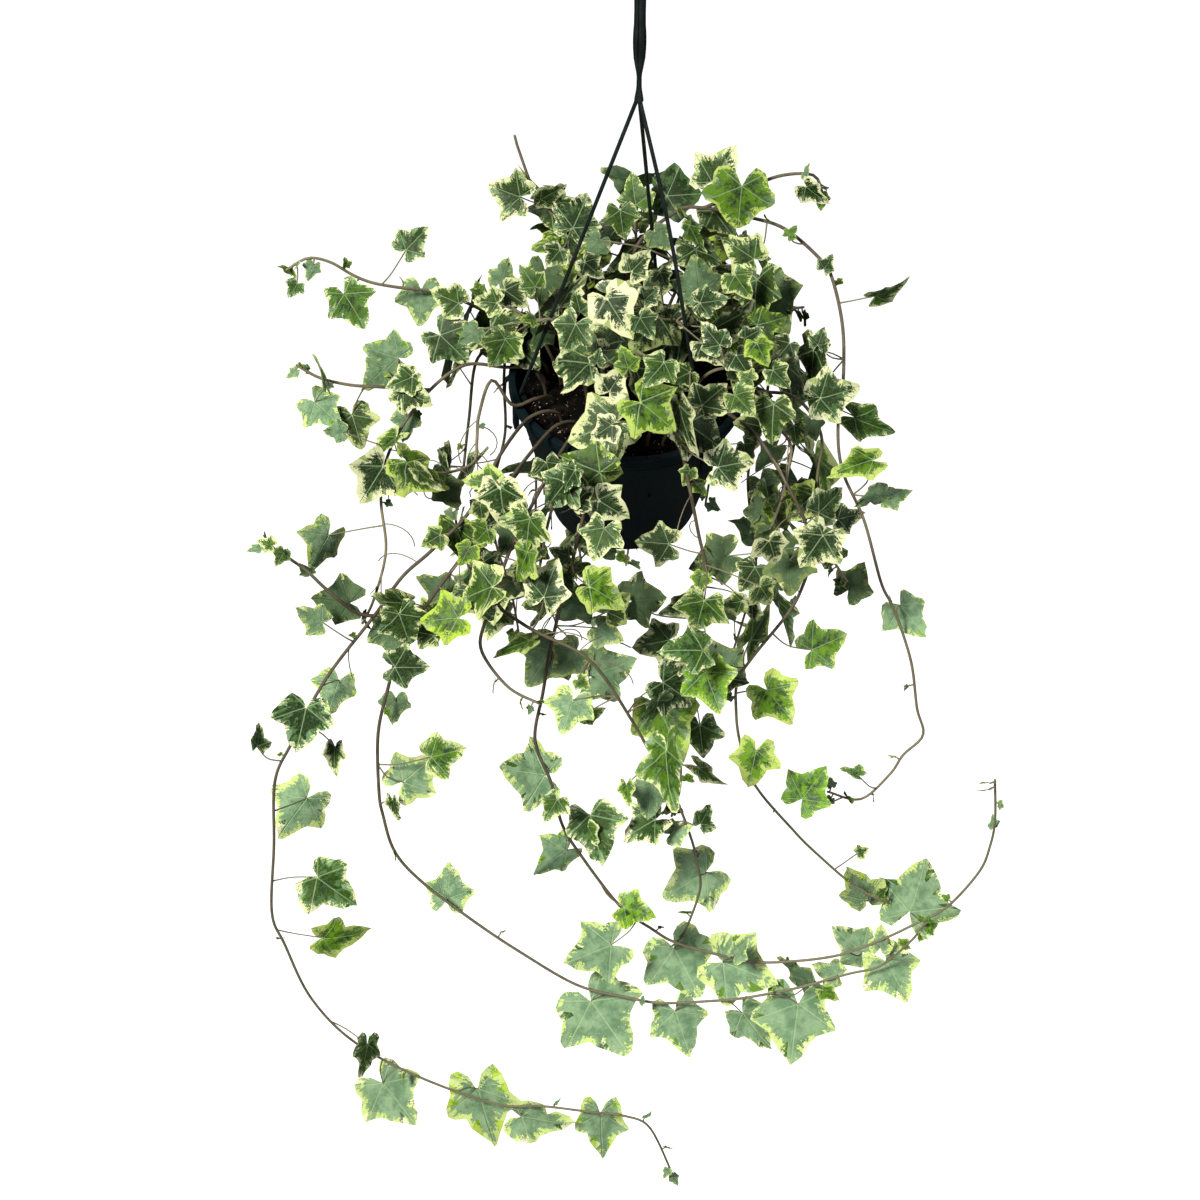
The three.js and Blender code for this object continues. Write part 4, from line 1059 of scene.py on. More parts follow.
SMALL_CROWN_LEAVES = [
    (670, 320, 686, 302), (497, 303, 472, 300), (745, 338, 764, 328), (628, 368, 621, 344),
    (790, 343, 774, 361), (580, 312, 575, 289), (597, 363, 600, 348), (660, 272, 667, 290),
    (655, 232, 672, 250, 180), (690, 372, 668, 384), (752, 380, 735, 372), (645, 300, 660, 285),
    (476, 330, 458, 345, 180), (560, 250, 545, 268),
]
seed_now = SEED


def draw(low, high):
    """A number between two others, in the order that the CAD drew them."""
    global seed_now
    seed_now = seed_now * SEED_FACTOR % SEED_RANGE
    return low + (high - low) * (seed_now - 1) / (SEED_RANGE - 1)


def leaf_draw():
    return {"pitch": draw(-PITCH, PITCH), "sway": draw(-SWAY, SWAY), "scale": draw(0, 1)}


def turned_about(vector, axis, degrees):
    return Quaternion(axis, math.radians(degrees)) @ vector


def sideways(axis, degrees):
    """A direction square to an axis, at a turn about it."""
    return turned_about(axis.orthogonal().normalized(), axis, degrees)


def place_from(base, tipward, face, length, roll):
    """A leaf's place: its face square to its midrib, then rolled about it."""
    square = (face - tipward * face.dot(tipward)).normalized()
    return {"base": base, "tipward": tipward, "face": turned_about(square, tipward, roll), "length": length}


def place_seen(at, depth, tilt):
    base = seen(at[0], at[1], depth)
    towards = (EYE - base).normalized()
    ray = seen(at[2], at[3], depth) - EYE
    flat = EYE + ray * (towards.dot(base - EYE) / towards.dot(ray)) - base
    side = flat.cross(towards).normalized()
    tipward = turned_about(flat.normalized(), side, tilt["pitch"])
    turn = at[4] if len(at) > 4 else 0
    length = flat.length / math.cos(math.radians(tilt["pitch"]))
    return place_from(base, tipward, side.cross(tipward), length, turn + tilt["sway"])


def place_by_rule(node, run, out, hand, length, sway, turn, reach):
    beside = turned_about(out.cross(run).normalized() * hand, out, turn)
    base = node + beside * 0.5 * reach * length + out * 0.3 * reach * length
    tipward = (beside + out * 0.15 + Vector((0, 0, -0.6))).normalized()
    return place_from(base, tipward, out + Vector((0, 0, 0.6)), length, sway)


def in_place(place, share=MIDDLE_SHARE):
    """A point on the midrib, at a share of the length from the stalk."""
    return place["base"] + place["tipward"] * place["length"] * share


def tip_corner(place):
    return in_place(place, 1) + place["face"] * (BLADE_HALF_THICKNESS - 0.2 * place["length"])


def stalk_stands(place, node):
    """Whether the stem is far enough behind the blade for a stalk."""
    run = node - place["base"]
    if run.length < SHORTEST_STALK:
        return False
    backs = [place["tipward"] * -0.9 + place["face"] * -slide for slide in (0, 1.6)]
    return any(back.normalized().dot(run.normalized()) > 0.3 for back in backs)


def sites_near(group, at, depth, count):
    """The places on some stems nearest to a leaf's stalk end, each midway between two points of
    a path. No leaf stands on the first two stretches, in the pot."""
    sites = []
    for stem in group:
        for p, path in enumerate(stem["paths"]):
            for k in range(2 if p == 0 else 0, len(path) - 1):
                middle = path[k].lerp(path[k + 1], 0.5)
                aim = seen(at[0], at[1], middle.y if depth is None else depth)
                sites.append(((middle - aim).length, stem, path, k, middle))
    sites.sort(key=lambda site: site[0])
    return [site[1:] for site in sites[:count]]


# How far down the photograph shows each front strand
STRANDS_SHOWN = {"left": 1.0, "right": 0.84}
STRAND_STEPS = 24
STEP_BACK = 4.0
MOST_STEPS_BACK = 12


def hides_strand(place):
    """Whether a leaf stands before a front strand where the photograph shows it."""
    middle, length = in_place(place), place["length"]
    near = (middle - EYE).length
    for side, shown in STRANDS_SHOWN.items():
        for step in range(1, STRAND_STEPS + 1):
            run = SPLIT_POINT.lerp(ear_top(EAR_ANGLES[side]), shown * step / STRAND_STEPS) - EYE
            beside = (EYE + run.normalized() * near - middle).length
            if near < run.length + 0.25 * length and beside < 0.7 * length:
                return True
    return False


leaves = []
late = []


def keep_leaf(stem, node, place, **facts):
    """Keeps a leaf, moved back in the line of sight if it would hide a strand."""
    for _ in range(MOST_STEPS_BACK):
        if hides_strand(place):
            base = place["base"]
            place = {**place, "base": base + (base - EYE).normalized() * STEP_BACK}
    leaves.append({"stem": stem["name"], "node": node, **place, **facts})


def add_seen_leaf(at, sites, depth):
    """A leaf of the photograph where the CAD has it, or late if the CAD had no room for it."""
    tilt = leaf_draw()
    for stem, path, k, middle in sites:
        for shift in SEEN_SHIFTS:
            place = place_seen(at, (middle.y if depth is None else depth) + shift, tilt)
            if in_cad(stem["name"], tip_corner(place)) and stalk_stands(place, middle):
                keep_leaf(stem, along(path, k, 0.5), place, at=at[:2])
                return
    late.append((at, sites[0], depth, tilt))


def dome_depth(u, v):
    """The depth at which the ray through a pixel meets the dome."""
    ray = [a - b for a, b in zip(sight(u, v, 0), EYE)]
    size = math.hypot(*ray)
    start = [(EYE[i] - DOME_MIDDLE[i]) / DOME_HALF[i] for i in range(3)]
    run = [ray[i] / size / DOME_HALF[i] for i in range(3)]
    a = sum(r * r for r in run)
    b = sum(s * r for s, r in zip(start, run))
    c = sum(s * s for s in start) - 1
    return EYE.y + ray[1] / size * (-b - math.sqrt(max(0, b * b - a * c))) / a


def outwards(point, side):
    out = Vector([(point[i] - DOME_MIDDLE[i]) / DOME_HALF[i] ** 2 for i in range(3)]).normalized()
    if side == "back":
        out.z = 0.1
    return out.normalized()


crown = [stem for stem in stems if stem["side"] == "crown"]
for stem in stems:
    for at in stem["leaves"]:
        add_seen_leaf(at, sites_near([stem], at, None, 2), None)
for at in CROWN_LEAVES:
    depth = dome_depth(at[0], at[1])
    add_seen_leaf(at, sites_near(crown, at, depth, 4), depth)

# Leaves of the hidden stems, one at each joint from the first on, to either side in turn
FIRST_JOINT = {"crown": 3, "back": 4}
RULE_LENGTH = {"crown": 28, "back": 30}
RULE_LENGTH_RANGE = {"crown": 12, "back": 14}
LAST_LEAF_SHARE = 0.7
RULE_REACHES = [1, 1.5]
for stem in hidden_stems:
    path, side = stem["paths"][0], stem["side"]
    for k in range(FIRST_JOINT[side], len(path)):
        run = (path[k] - path[k - 1]).normalized()
        out = outwards(path[k], side)
        tilt = leaf_draw()
        length = RULE_LENGTH[side] + RULE_LENGTH_RANGE[side] * tilt["scale"]
        if k == len(path) - 1:
            length *= LAST_LEAF_SHARE
        node = path[k - 1].lerp(path[k], 0.5)
        hand = 1 if k % 2 else -1
        for reach, turn in ((reach, turn) for reach in RULE_REACHES for turn in RULE_TURNS):
            place = place_by_rule(node, run, out, hand, length, tilt["sway"], turn, reach)
            if in_cad(stem["name"], tip_corner(place)):
                keep_leaf(stem, along(path, k - 1, 0.5), place)
                break

# The leaves that the CAD had no room for, and those too small for it
YOUNG_SEED = 7
NEARER = {"late": 6, "small": 4}
young = random.Random(YOUNG_SEED)


def small_tilt():
    return {"pitch": young.uniform(-PITCH, PITCH), "sway": young.uniform(-SWAY, SWAY)}


def add_nearer_leaf(at, site, depth, nearer, tilt):
    """A leaf of the photograph a little before the stem that carries it."""
    stem, path, k, middle = site
    place = place_seen(at, (middle.y if depth is None else depth) - nearer, tilt)
    keep_leaf(stem, along(path, k, 0.5), place, at=at[:2])


for at, site, depth, tilt in late:
    add_nearer_leaf(at, site, depth, NEARER["late"], tilt)
for stem in stems:
    for at in stem["small"]:
        site = sites_near([stem], at, None, 1)[0]
        add_nearer_leaf(at, site, None, NEARER["small"], small_tilt())
for at in SMALL_CROWN_LEAVES:
    depth = dome_depth(at[0], at[1])
    add_nearer_leaf(at, sites_near(crown, at, depth, 1)[0], depth, NEARER["small"], small_tilt())


def add_tip_leaf(stem, path, k, share, length, lime):
    """A young leaf that has hardly opened, close to its stem."""
    point = along(path, k, share)
    run = (path[k + 1] - path[k]).normalized()
    aside = sideways(run, young.uniform(0, 360))
    tipward = (run * young.uniform(0.2, 0.9) + aside + Vector((0, 0, -0.3))).normalized()
    roll = young.uniform(0, 360)
    base = point + aside * young.uniform(2.5, 5)
    keep_leaf(stem, point, place_from(base, tipward, tipward.orthogonal(), length, roll), lime=lime)


# Each stem but the bare one ends in a few half-open leaves, and buds stand at some of its joints.
# TIP_PLACES: stretches back from the end, and the share of the stretch
BARE_TIP = "vine_top"
TIP_PLACES = ((0, 0.98), (0, 0.8), (0, 0.45), (1, 0.7))
for stem in stems:
    for path in stem["paths"]:
        if stem["name"] == BARE_TIP:
            continue
        last = len(path) - 2
        for back, share in TIP_PLACES:
            if last > back:
                length, lime = young.uniform(6, 12), young.uniform(0.5, 1.0)
                add_tip_leaf(stem, path, last - back, share, length, lime)
        for k in range(5, last - 1, 3):
            add_tip_leaf(stem, path, k, young.random(), young.uniform(4, 8), young.uniform(0.7, 1.0))

# More leaves fill the crown and the masses at the sides, where the photograph shows them crowded
# behind the ones above. FILLS: pixel across, pixel down, half-width, half-height, depth (None
# for the dome's), depth range and number
FILLS = [
    (640, 290, 140, 100, None, 0, 14), (650, 405, 60, 25, None, 0, 5), (580, 470, 35, 40, -95, 20, 10),
    (410, 340, 45, 50, -80, 50, 10), (470, 500, 35, 45, -110, 40, 4), (530, 560, 60, 60, -125, 40, 12),
    (420, 620, 40, 25, -150, 20, 4), (780, 390, 45, 70, -60, 60, 4), (790, 520, 45, 50, -90, 50, 5),
    (720, 580, 45, 25, -110, 40, 5), (690, 700, 35, 60, -140, 30, 5),
]
# Parts of the picture that these leaves leave free: the soil, the pot, and the empty spaces
# among the stems, each from left and top to right and low
BARE_VIEWS = [
    (522, 372, 584, 442), (616, 450, 704, 542), (500, 200, 545, 262), (775, 240, 838, 300),
    (796, 290, 838, 345), (700, 478, 752, 535), (430, 385, 515, 455), (462, 352, 505, 390),
    (385, 500, 440, 548), (345, 520, 385, 600), (760, 432, 800, 470), (800, 560, 850, 640),
    (250, 300, 345, 380), (400, 230, 490, 275), (840, 200, 960, 400), (590, 545, 640, 590),
    (620, 560, 680, 600), (430, 640, 530, 860), (530, 640, 640, 700),
]
FILL_TRIES = 4
NEAREST_FILL = 6
FARTHEST_FILL = 48
FILL_CROWDING = 0.38
HIDDEN_TRIES = {"crown": 12, "back": 26}
samples = []
for stem in stems:
    for path in stem["paths"]:
        for k in range(2, len(path) - 1):
            samples += [(stem, along(path, k, share)) for share in (0.15, 0.5, 0.85)]
sample_tree = KDTree(len(samples))
for i, (stem, point) in enumerate(samples):
    sample_tree.insert(point, i)
sample_tree.balance()
box_low, box_high = (Vector(corner) / MM for corner in cad_box)


def inside(pixel, view):
    left, top, right, low = view
    return left < pixel[0] < right and top < pixel[1] < low


def fill_leaf(base, out, length, roll):
    """A leaf with its stalk on the nearest stem, unless it crowds another or leaves the box."""
    point, index, gap = sample_tree.find(base)
    if gap < NEAREST_FILL or gap > FARTHEST_FILL:
        return False
    tipward = (sideways(out, roll) + Vector((0, 0, -0.7)) + out * 0.1).normalized()
    place = place_from(base, tipward, out + Vector((0, 0, 0.5)), length, young.uniform(-48, 48))
    middle = in_place(place)
    pixels = [pixel_of(in_place(place, share)) for share in (0, MIDDLE_SHARE, 1)]
    if hides_strand(place) or any(inside(pixel, view) for view in BARE_VIEWS for pixel in pixels):
        return False
    if not all(box_low[i] < middle[i] < box_high[i] for i in range(3)):
        return False
    if any((in_place(leaf) - middle).length < FILL_CROWDING * (leaf["length"] + length) for leaf in leaves):
        return False
    keep_leaf(samples[index][0], point, place)
    return True


for u, v, half_u, half_v, depth, spread, count in FILLS:
    for _ in range(count * FILL_TRIES):
        pixel = (u + half_u * young.uniform(-1, 1), v + half_v * young.uniform(-1, 1))
        if depth is None:
            base = seen(*pixel, dome_depth(*pixel) + young.uniform(0, 30))
        else:
            base = seen(*pixel, depth + spread * young.uniform(-1, 1))
        out = (outwards(base, "crown") + (EYE - base).normalized()).normalized()
        length = young.uniform(24, 42) if depth is None else young.uniform(16, 32)
        count -= fill_leaf(base, out, length, young.uniform(0, 360))
        if count == 0:
            break
for stem in hidden_stems:
    path = stem["paths"][0]
    for _ in range(HIDDEN_TRIES[stem["side"]]):
        k = young.randrange(3, len(path) - 1)
        point = along(path, k, young.random())
        out = turned_about(outwards(point, stem["side"]), Vector((0, 0, 1)), young.uniform(-60, 60))
        fill_leaf(point + out * young.uniform(8, 26), out, young.uniform(24, 38), young.uniform(0, 360))

# Old stalks that have lost their leaf curl out of the vines where these hang close together
BARE_STALKS = 14
CURL_STEPS = 6
CROWDED_VIEW = (350, 455, 790, 690)
bare_stalks = []
for stem in seen_stems:
    path = stem["paths"][0]
    for _ in range(BARE_STALKS):
        k = young.randrange(3, len(path) - 2)
        run = (path[k + 1] - path[k]).normalized()
        heading = (sideways(run, young.uniform(0, 360)) + run * young.uniform(0, 1.2)).normalized()
        axis = heading.cross(Vector((0, 0, -1))).normalized()
        step, bend = young.uniform(2.5, 6.5), young.uniform(4, 30)
        curl = [along(path, k, young.random())]
        for _ in range(CURL_STEPS):
            curl.append(curl[-1] + heading * step)
            heading = turned_about(heading, axis, bend)
        if inside(pixel_of(curl[-1]), CROWDED_VIEW):
            bare_stalks.append((stem["name"], curl))

# Blades
# Each blade is a closed thin shell of unit length, with five pointed lobes on large leaves,
# three on small ones and broad ones on two. Each form has its own curl, twist and waves. An
# outline runs up the right side, from the stalk's end at (0, 0) to the tip at (0, 1).
FIVE_LOBES = [
    (0.1, -0.22), (0.25, -0.35), (0.4, -0.34), (0.49, -0.18), (0.5, -0.02), (0.6, 0.1), (0.7, 0.24),
    (0.71, 0.36), (0.56, 0.42), (0.39, 0.48), (0.33, 0.61), (0.2, 0.82), (0.07, 0.95),
]
THREE_LOBES = [
    (0.1, -0.16), (0.22, -0.25), (0.35, -0.24), (0.46, -0.1), (0.5, 0.04), (0.58, 0.16),
    (0.6, 0.28), (0.48, 0.37), (0.33, 0.45), (0.28, 0.59), (0.17, 0.8), (0.06, 0.93),
]
BROAD_LOBES = [
    (0.12, -0.28), (0.3, -0.42), (0.5, -0.38), (0.6, -0.2), (0.62, 0.0), (0.76, 0.12),
    (0.84, 0.28), (0.72, 0.42), (0.52, 0.52), (0.4, 0.68), (0.24, 0.86), (0.1, 0.95),
]
SMALL_BLADE = 22.0
USUAL_BLADE = 34.0
BLADE_FORMS = 8
BLADE_MIDDLE = Vector((0, 0.18))
INNER_RING = 0.55
CURL = (-0.3, 0.34)
TWIST = (-0.28, 0.28)
WAVE = (0.02, 0.06)
WIDTH = (0.88, 1.12)
UNEVEN = (-0.03, 0.03)
VALLEY = 0.12
TIP_DROOP = 0.2


def uneven_side(half, width, shape):
    return [(x * width + shape.uniform(*UNEVEN), y + shape.uniform(*UNEVEN)) for x, y in half]


def blade_points(half, form):
    """The rim, then an inner ring and a middle point for each side; each with how far it is from
    the rim, 0 to 1."""
    shape = random.Random(form)
    curl, twist, wave = (shape.uniform(*limits) for limits in (CURL, TWIST, WAVE))
    right = uneven_side(half, shape.uniform(*WIDTH), shape)
    left = uneven_side(half, -shape.uniform(*WIDTH), shape)
    rim = [Vector(p) for p in [(0, 0.0), *right, (0, 1), *reversed(left)]]
    thick = BLADE_HALF_THICKNESS / USUAL_BLADE
    rings = [(1.0, 0.0, 0.0)]
    for side in (thick, -thick):
        rings += [(INNER_RING, side, 0.5), (0.0, side, 1.0)]
    points, edge = [], []
    for share, rise, closeness in rings:
        for p in rim if share else rim[:1]:
            x, y = BLADE_MIDDLE.lerp(p, share)
            bend = VALLEY * abs(x) - TIP_DROOP * y * abs(y) + wave * share * math.sin(9 * x + 13 * y + form)
            points.append((x, y, bend + curl * x * x + twist * x * y + rise))
            edge.append(closeness)
    return points, edge, len(rim)


def blade_mesh(name, half, form):
    points, edge, count = blade_points(half, form)
    faces = []
    inner, top_middle, below, low_middle = count, 2 * count, 2 * count + 1, 3 * count + 1
    for i in range(count):
        j = (i + 1) % count
        faces += [(i, j, inner + j, inner + i), (inner + i, inner + j, top_middle)]
        faces += [(j, i, below + i, below + j), (below + j, below + i, low_middle)]
    mesh = bpy.data.meshes.new(name)
    mesh.from_pydata(points, [], faces)
    mesh.attributes.new("edge", "FLOAT", "POINT").data.foreach_set("value", edge)
    under = [0.0, 0.0, 1.0, 1.0] * count
    mesh.attributes.new("under", "FLOAT", "FACE").data.foreach_set("value", under)
    flat = mesh.uv_layers.new(name="flat")
    for loop in mesh.loops:
        flat.data[loop.index].uv = points[loop.vertex_index][:2]
    mesh.shade_smooth()
    sharp = mesh.attributes.new("sharp_edge", "BOOLEAN", "EDGE")
    for mesh_edge in mesh.edges:
        sharp.data[mesh_edge.index].value = max(mesh_edge.vertices) < count
    return mesh


blades = bpy.data.collections.new("blades")
for form in range(BLADE_FORMS):
    for rank, half in enumerate((FIVE_LOBES, THREE_LOBES, BROAD_LOBES)):
        mesh = blade_mesh(f"blade_{rank}_{form}", half, form + 40 * rank)
        blades.objects.link(bpy.data.objects.new(mesh.name, mesh))


# Leaf surface
# A grey-green to deep green blade, with a jagged cream or lime margin and flecks of it further
# in, pale veins, and a paler underside; shade is painted in as darker colours on leaves that others
# hide from the light. The margin steps in and out by cells: wedges about the stalk's end, crossed by rungs
# along the blade.
def shade(red, green, blue):
    """A colour of the picture, 0 to 255, as the shader's linear share of light."""
    return tuple(((c / 255 + 0.055) / 1.055) ** 2.4 if c > 10 else c / 3294 for c in (red, green, blue))


GREY_GREEN = shade(82, 118, 64)
DEEP_GREEN = shade(26, 51, 12)
LIME_GREEN = shade(124, 176, 20)
# Painted shade: leaves behind other leaves and deep in the crown are painted towards these darker colours
PAINTED_SHADE_GREEN = shade(22, 36, 4)
VEIN_GREEN = shade(150, 180, 132)
CREAM = shade(240, 240, 196)
LIME_CREAM = shade(178, 208, 62)
PAINTED_SHADE_CREAM = shade(110, 132, 34)
UNDER_DARK = shade(98, 132, 96)
UNDER_PALE = shade(140, 170, 130)
UNDER_CREAM = shade(204, 224, 136)
UNDER_VEIN = shade(168, 194, 146)
UNDER_PAINTED_SHADE = shade(40, 62, 14)
# Across and along parts of the normal of the side ribs and the low ribs
SIDE_RIB = (0.464, 0.886)
LOW_RIB = (0.57, 0.82)
RIB_WIDTH = (0.022, 0.006)
VEIN_NET = 11.0
VEIN_WIDTH = (0.05, 0.01)
BLOTCHES = 3.4
RAGGEDNESS = 26.0
WEDGES = 8.0
RUNGS = 13.0
LEAF_RELIEF = 0.0006

leaf_paint = Paint("variegated_leaf")
leaf_seed, leaf_lime, leaf_edging, leaf_painted_shade, leaf_rim, leaf_under = (
    leaf_paint.attribute(name) for name in ("seed", "lime", "edging", "shaded", "edge", "under")
)
leaf_flat = leaf_paint.node("UVMap", uv_map="flat")
leaf_away = leaf_paint.node("CombineXYZ", {0: leaf_seed * 37.0, 1: leaf_seed * 91.0})
leaf_spot = leaf_paint.node("VectorMath", {0: leaf_flat, 1: leaf_away}, operation="ADD")
leaf_across = leaf_paint.node("SeparateXYZ", {0: leaf_flat})
leaf_x = abs(leaf_across)
leaf_y = leaf_paint.node("SeparateXYZ", {0: leaf_flat}, 1)
midrib = leaf_x + (0.0 - leaf_y).most(0.0)
side_rib = abs(leaf_x * SIDE_RIB[0] - leaf_y * SIDE_RIB[1])
low_rib = abs(leaf_x * LOW_RIB[0] + leaf_y * LOW_RIB[1])
rib_lines = midrib.least(side_rib).least(low_rib).ramp(*RIB_WIDTH)
fine_net = {"Vector": leaf_spot, "Scale": VEIN_NET}
fine_veins = leaf_paint.node("TexVoronoi", fine_net, feature="DISTANCE_TO_EDGE").ramp(*VEIN_WIDTH)
blotch = leaf_paint.noise(leaf_spot, BLOTCHES, 3.0, 0.7)
ragged = leaf_paint.noise(leaf_spot, RAGGEDNESS, 3.0, 0.7)
wedge = leaf_across.maths("ARCTAN2", leaf_across, leaf_y + 0.1) * WEDGES + ragged * 0.9
rung = (leaf_y - leaf_x * 0.75) * RUNGS + ragged * 0.9
step_cell = {0: wedge.maths("FLOOR", wedge), 1: rung.maths("FLOOR", rung), 2: leaf_seed}
steps = leaf_paint.node("TexWhiteNoise", {"Vector": leaf_paint.node("CombineXYZ", step_cell)})
broken = (steps - 0.5) * 0.36 + (blotch - 0.5) * 1.2 + (ragged - 0.5) * 0.7
margin = (leaf_rim + broken - leaf_edging).ramp(0.02, -0.01)
flecks = steps.ramp(0.93, 0.95) * ragged.ramp(0.42, 0.5) * (leaf_rim - leaf_edging).ramp(0.5, 0.1)
patches = (leaf_rim * 0.5 + (blotch - 0.5) * 1.5 + (steps - 0.5) * 0.3).ramp(0.13, 0.21)
green = leaf_paint.mix(patches, GREY_GREEN, DEEP_GREEN)
green = leaf_paint.mix(leaf_lime * blotch.ramp(0.4, 0.6), green, LIME_GREEN)
# Painted shade darkens the green and the margin of leaves that other leaves hide from the lamp
green = leaf_paint.mix(leaf_painted_shade * 0.8, green, PAINTED_SHADE_GREEN)
green = leaf_paint.mix(rib_lines * 0.55 + fine_veins * 0.16, green, VEIN_GREEN)
limy = leaf_lime.most(ragged.ramp(0.5, 0.75) * 0.5)
cream = leaf_paint.mix(limy, CREAM, LIME_CREAM)
cream = leaf_paint.mix(leaf_painted_shade * 0.35, cream, PAINTED_SHADE_CREAM)
top_colour = leaf_paint.mix(margin.most(flecks), green, cream)
pale = leaf_paint.mix(blotch.ramp(0.35, 0.65), UNDER_DARK, UNDER_PALE)
pale = leaf_paint.mix(margin, pale, UNDER_CREAM)
pale = leaf_paint.mix(rib_lines * 0.5, pale, UNDER_VEIN)
# Painted shade darkens the underside in the same way
pale = leaf_paint.mix(leaf_painted_shade * 0.75, pale, UNDER_PAINTED_SHADE)
leaf_height = (1.0 - rib_lines) * 0.6 + (1.0 - fine_veins) * 0.2 + ragged * 0.2
leaf_paint.set(
    Base_Color=leaf_paint.mix(leaf_under, top_colour, pale),
    Roughness=blotch * 0.2 + leaf_under * 0.18 + 0.42,
    Specular_IOR_Level=0.3,
    Normal=leaf_paint.bump(leaf_height, LEAF_RELIEF),
)

# Stem surface
# Grey-brown bark on the old stems, and a thin skin from green-brown to pink-brown on the young
# ends and the stalks.
BARK_DARK = shade(54, 44, 34)
BARK_PALE = shade(98, 86, 68)
SKIN_DARK = shade(94, 92, 62)
SKIN_PALE = shade(140, 130, 108)
stem_paint = Paint("ivy_stem")
stem_cloud = stem_paint.noise(stem_paint.place(), 90.0, 4.0)
stem_grain = stem_paint.noise(stem_paint.place(), 900.0, 2.0)
bark = stem_paint.mix(stem_cloud, BARK_DARK, BARK_PALE)
skin = stem_paint.mix(stem_cloud, SKIN_DARK, SKIN_PALE)
stem_age = (stem_paint.attribute("young") + stem_cloud * 0.3).ramp(0.35, 0.85)
stem_paint.set(
    Base_Color=stem_paint.mix(stem_age, bark, skin),
    Roughness=stem_grain * 0.2 + 0.6,
    Normal=stem_paint.bump(stem_grain, 0.0003),
)

# Growth of a stem
# A stem, its stalks and its leaves grow as one piece. Its lines become round stems and stalks,
# and each of its loose points becomes a leaf of the form, size and turn that the point says.
STEM_RADIUS = 1.35
STEM_TIP_RADIUS = 0.9
STALK_RADIUS = 0.5
STEM_SIDES = 7
STEM_STEP = 0.004
growth = Grove(
    "growth", blades="Collection", sides="Int", step="Float", leaf_finish="Material", stem_finish="Material"
)
growth_size = growth.named("size")
growth_is_leaf = growth.node("FunctionNodeCompare", {0: growth_size, 1: 0.001}, operation="GREATER_THAN")
growth_points = growth.node(
    "MeshToPoints", {"Mesh": growth.given("Geometry"), "Selection": growth_is_leaf}
)
growth_blades = growth.node("CollectionInfo", {
    "Collection": growth.given("blades"), "Separate Children": True, "Reset Children": True
})
growth_leaves = growth.scatter(
    growth_points, growth_blades, Pick_Instance=True, Instance_Index=growth.named("form", "INT"),
    Rotation=growth.named("turn", "FLOAT_VECTOR"), Scale=growth_size,
)
growth.close(growth.joined(growth.finished(growth_leaves, "leaf_finish"), lay_rods(growth, "stem_finish")))

# Leaves of the photograph, by the pixel of the stalk end, that are lime, plain green, broad, or
# cream to far within
LIME_BASES = [
    (658, 706), (742, 186), (329, 535), (640, 402), (802, 799), (603, 470), (756, 750), (767, 690),
]
PLAIN_BASES = [(667, 196)]
BROAD_BASES = [(742, 186), (667, 196)]
CREAM_BASES = [(607, 298), (609, 392), (588, 478)]
BASE_NEAR = 6
LIME_LEAF = 0.8
PLAIN_EDGING = -0.6
CREAM_EDGING = 0.42
EDGING = (-0.02, 0.28)
THREE_LOBED_SHARE = 0.3
# Painted shade: a leaf is painted darker where other leaves stand towards the high left lamp, and near the
# crown and the side masses
LIGHT_FROM = Vector((-0.45, -0.6, 0.66))
SHADE_NEAR = 6
SHADE_FAR = 80
FULL_SHADE = 3
CENTRE_SHADE = 0.9
# Where the painted shade is deepest, in the crown and the two side masses, and how far from there it fades
PAINTED_SHADE_CENTRES = [(RIM_CENTRE, 210.0), (seen(435, 575, -115), 125.0), (seen(765, 540, -85), 110.0)]
POINT_FACTS = {
    "thick": "FLOAT", "young": "FLOAT", "size": "FLOAT", "form": "INT", "turn": "FLOAT_VECTOR",
    "seed": "FLOAT", "lime": "FLOAT", "edging": "FLOAT", "shaded": "FLOAT",
}
looks = random.Random(31)


def near_any(leaf, bases):
    return any(math.dist(leaf.get("at", (0, 0)), base) < BASE_NEAR for base in bases)


def painted_shade_from_others(leaf):
    """How far other leaves stand between a leaf and the lamp: painted shade, deeper the more they are."""
    count = 0
    for other in leaves:
        away = in_place(other) - in_place(leaf)
        rise = away.dot(LIGHT_FROM)
        if SHADE_NEAR < rise < SHADE_FAR:
            count += (away - LIGHT_FROM * rise).length < 8 + 0.35 * other["length"]
    return min(count / FULL_SHADE, 1.0)


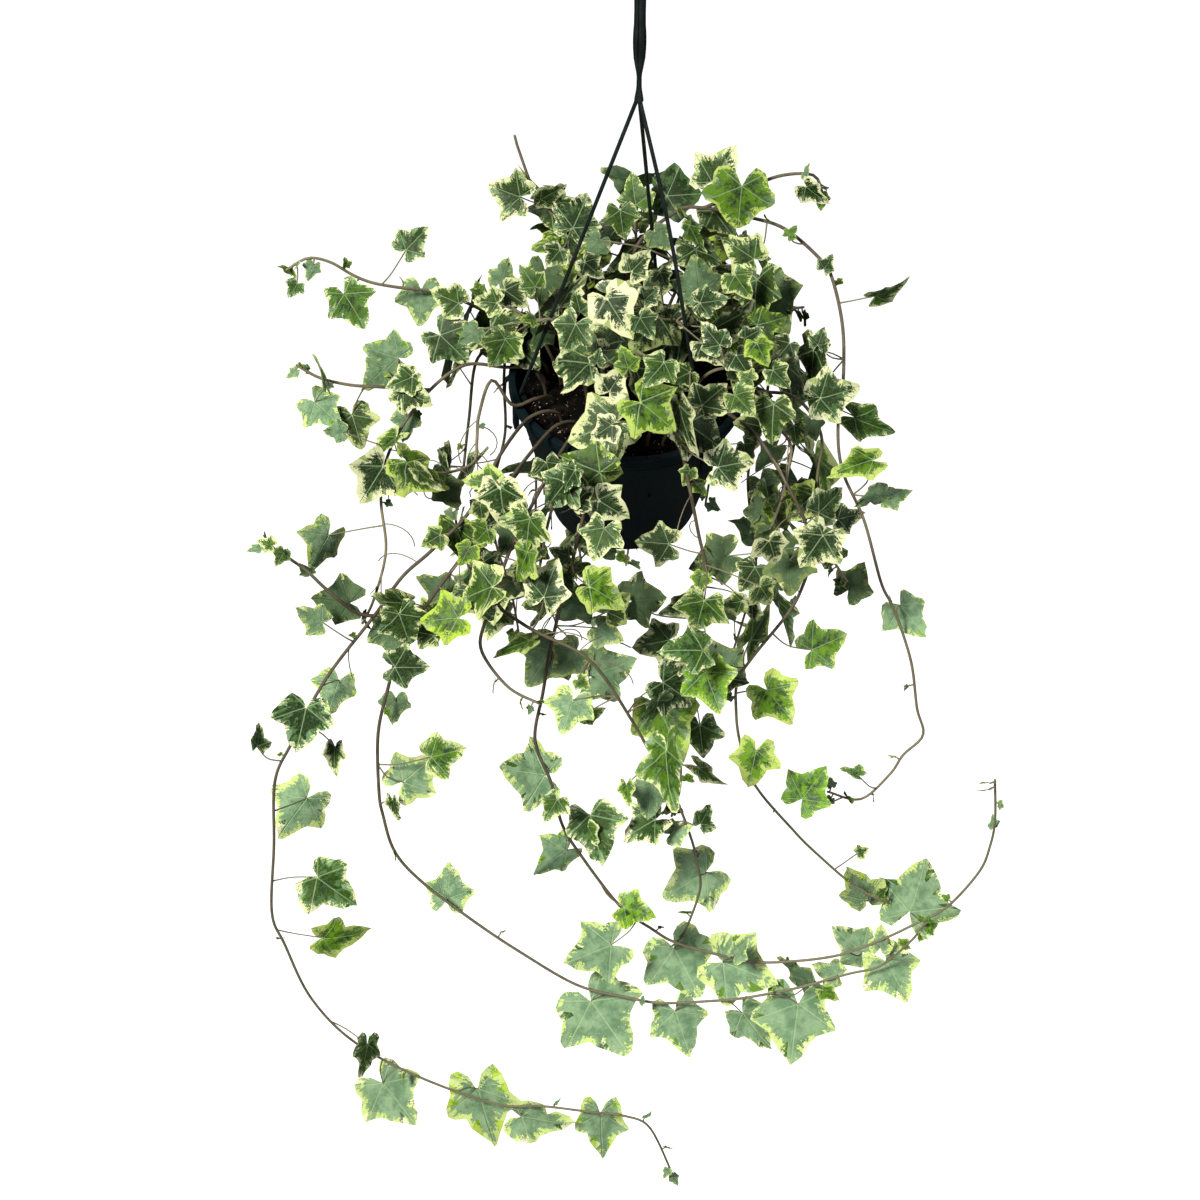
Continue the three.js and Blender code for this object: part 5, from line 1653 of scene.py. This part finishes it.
def leaf_facts(leaf):
    """What a leaf's point says; its form counts along the row of blades."""
    columns = (leaf["tipward"].cross(leaf["face"]), leaf["tipward"], leaf["face"])
    turn = Matrix(columns).transposed().to_euler()
    lime = leaf.get("lime", looks.random() ** 1.9)
    if near_any(leaf, LIME_BASES):
        lime = LIME_LEAF
    # Painted shade from nearness to the crown and the side masses, added to the painted shade from other
    # leaves
    centre_nearness = max(1 - ((in_place(leaf) - middle).length / reach) ** 2 for middle, reach in PAINTED_SHADE_CENTRES)
    shaded = min(painted_shade_from_others(leaf) + CENTRE_SHADE * max(centre_nearness, 0), 1.0)
    edging = looks.uniform(*EDGING)
    if near_any(leaf, PLAIN_BASES):
        lime, edging = 0.0, PLAIN_EDGING
    if near_any(leaf, CREAM_BASES):
        lime, edging = 0.0, CREAM_EDGING
    form = looks.randrange(BLADE_FORMS)
    if near_any(leaf, BROAD_BASES):
        form += 2 * BLADE_FORMS
    elif (
        leaf["length"] < SMALL_BLADE or near_any(leaf, CREAM_BASES)
        or looks.random() < THREE_LOBED_SHARE
    ):
        form += BLADE_FORMS
    return {
        "size": leaf["length"] * MM, "form": form, "turn": turn, "seed": looks.random(),
        "lime": lime, "edging": edging, "shaded": shaded,
    }


def rod(point, radius, youth):
    return point, {"thick": radius * MM, "young": youth}


def stalk_line(leaf):
    """From the blade's base to the stem in a slight bow that sags."""
    base, node = leaf["base"] - leaf["face"] * 0.2, leaf["node"]
    leave = -leaf["tipward"] - leaf["face"] * 0.6
    gap = (node - base).length
    middle = base.lerp(node, 0.5) + leave.normalized() * gap * 0.12 - Vector((0, 0, gap * 0.06))
    return [rod(base, STALK_RADIUS, 0.9), rod(middle, STALK_RADIUS, 0.9), rod(node, STALK_RADIUS * 1.3, 0.7)]


for stem in stems:
    lines = []
    for path in stem["paths"]:
        full = [*path, stem_end(path)]
        shares = [k / (len(full) - 1) for k in range(len(full))]
        thinner = STEM_TIP_RADIUS - STEM_RADIUS
        lines.append([rod(point, STEM_RADIUS + thinner * share, share) for point, share in zip(full, shares)])
    for leaf in leaves:
        if leaf["stem"] == stem["name"]:
            lines += [[(leaf["base"], leaf_facts(leaf))], stalk_line(leaf)]
    for name, curl in bare_stalks:
        if name == stem["name"]:
            lines.append([rod(point, STALK_RADIUS * 0.8, 0.8) for point in curl])
    piece = lines_piece(stem["name"] + "_growth", lines, POINT_FACTS)
    growth.run(
        piece, blades=blades, sides=STEM_SIDES, step=STEM_STEP,
        leaf_finish=leaf_paint.material, stem_finish=stem_paint.material,
    )
    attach(piece, "root")
    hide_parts(stem["name"])
for blade in list(blades.objects):
    bpy.data.objects.remove(blade)
bpy.data.collections.remove(blades)

# Close
# Colours are shown as they are.
bpy.context.scene.view_settings.view_transform = "Standard"
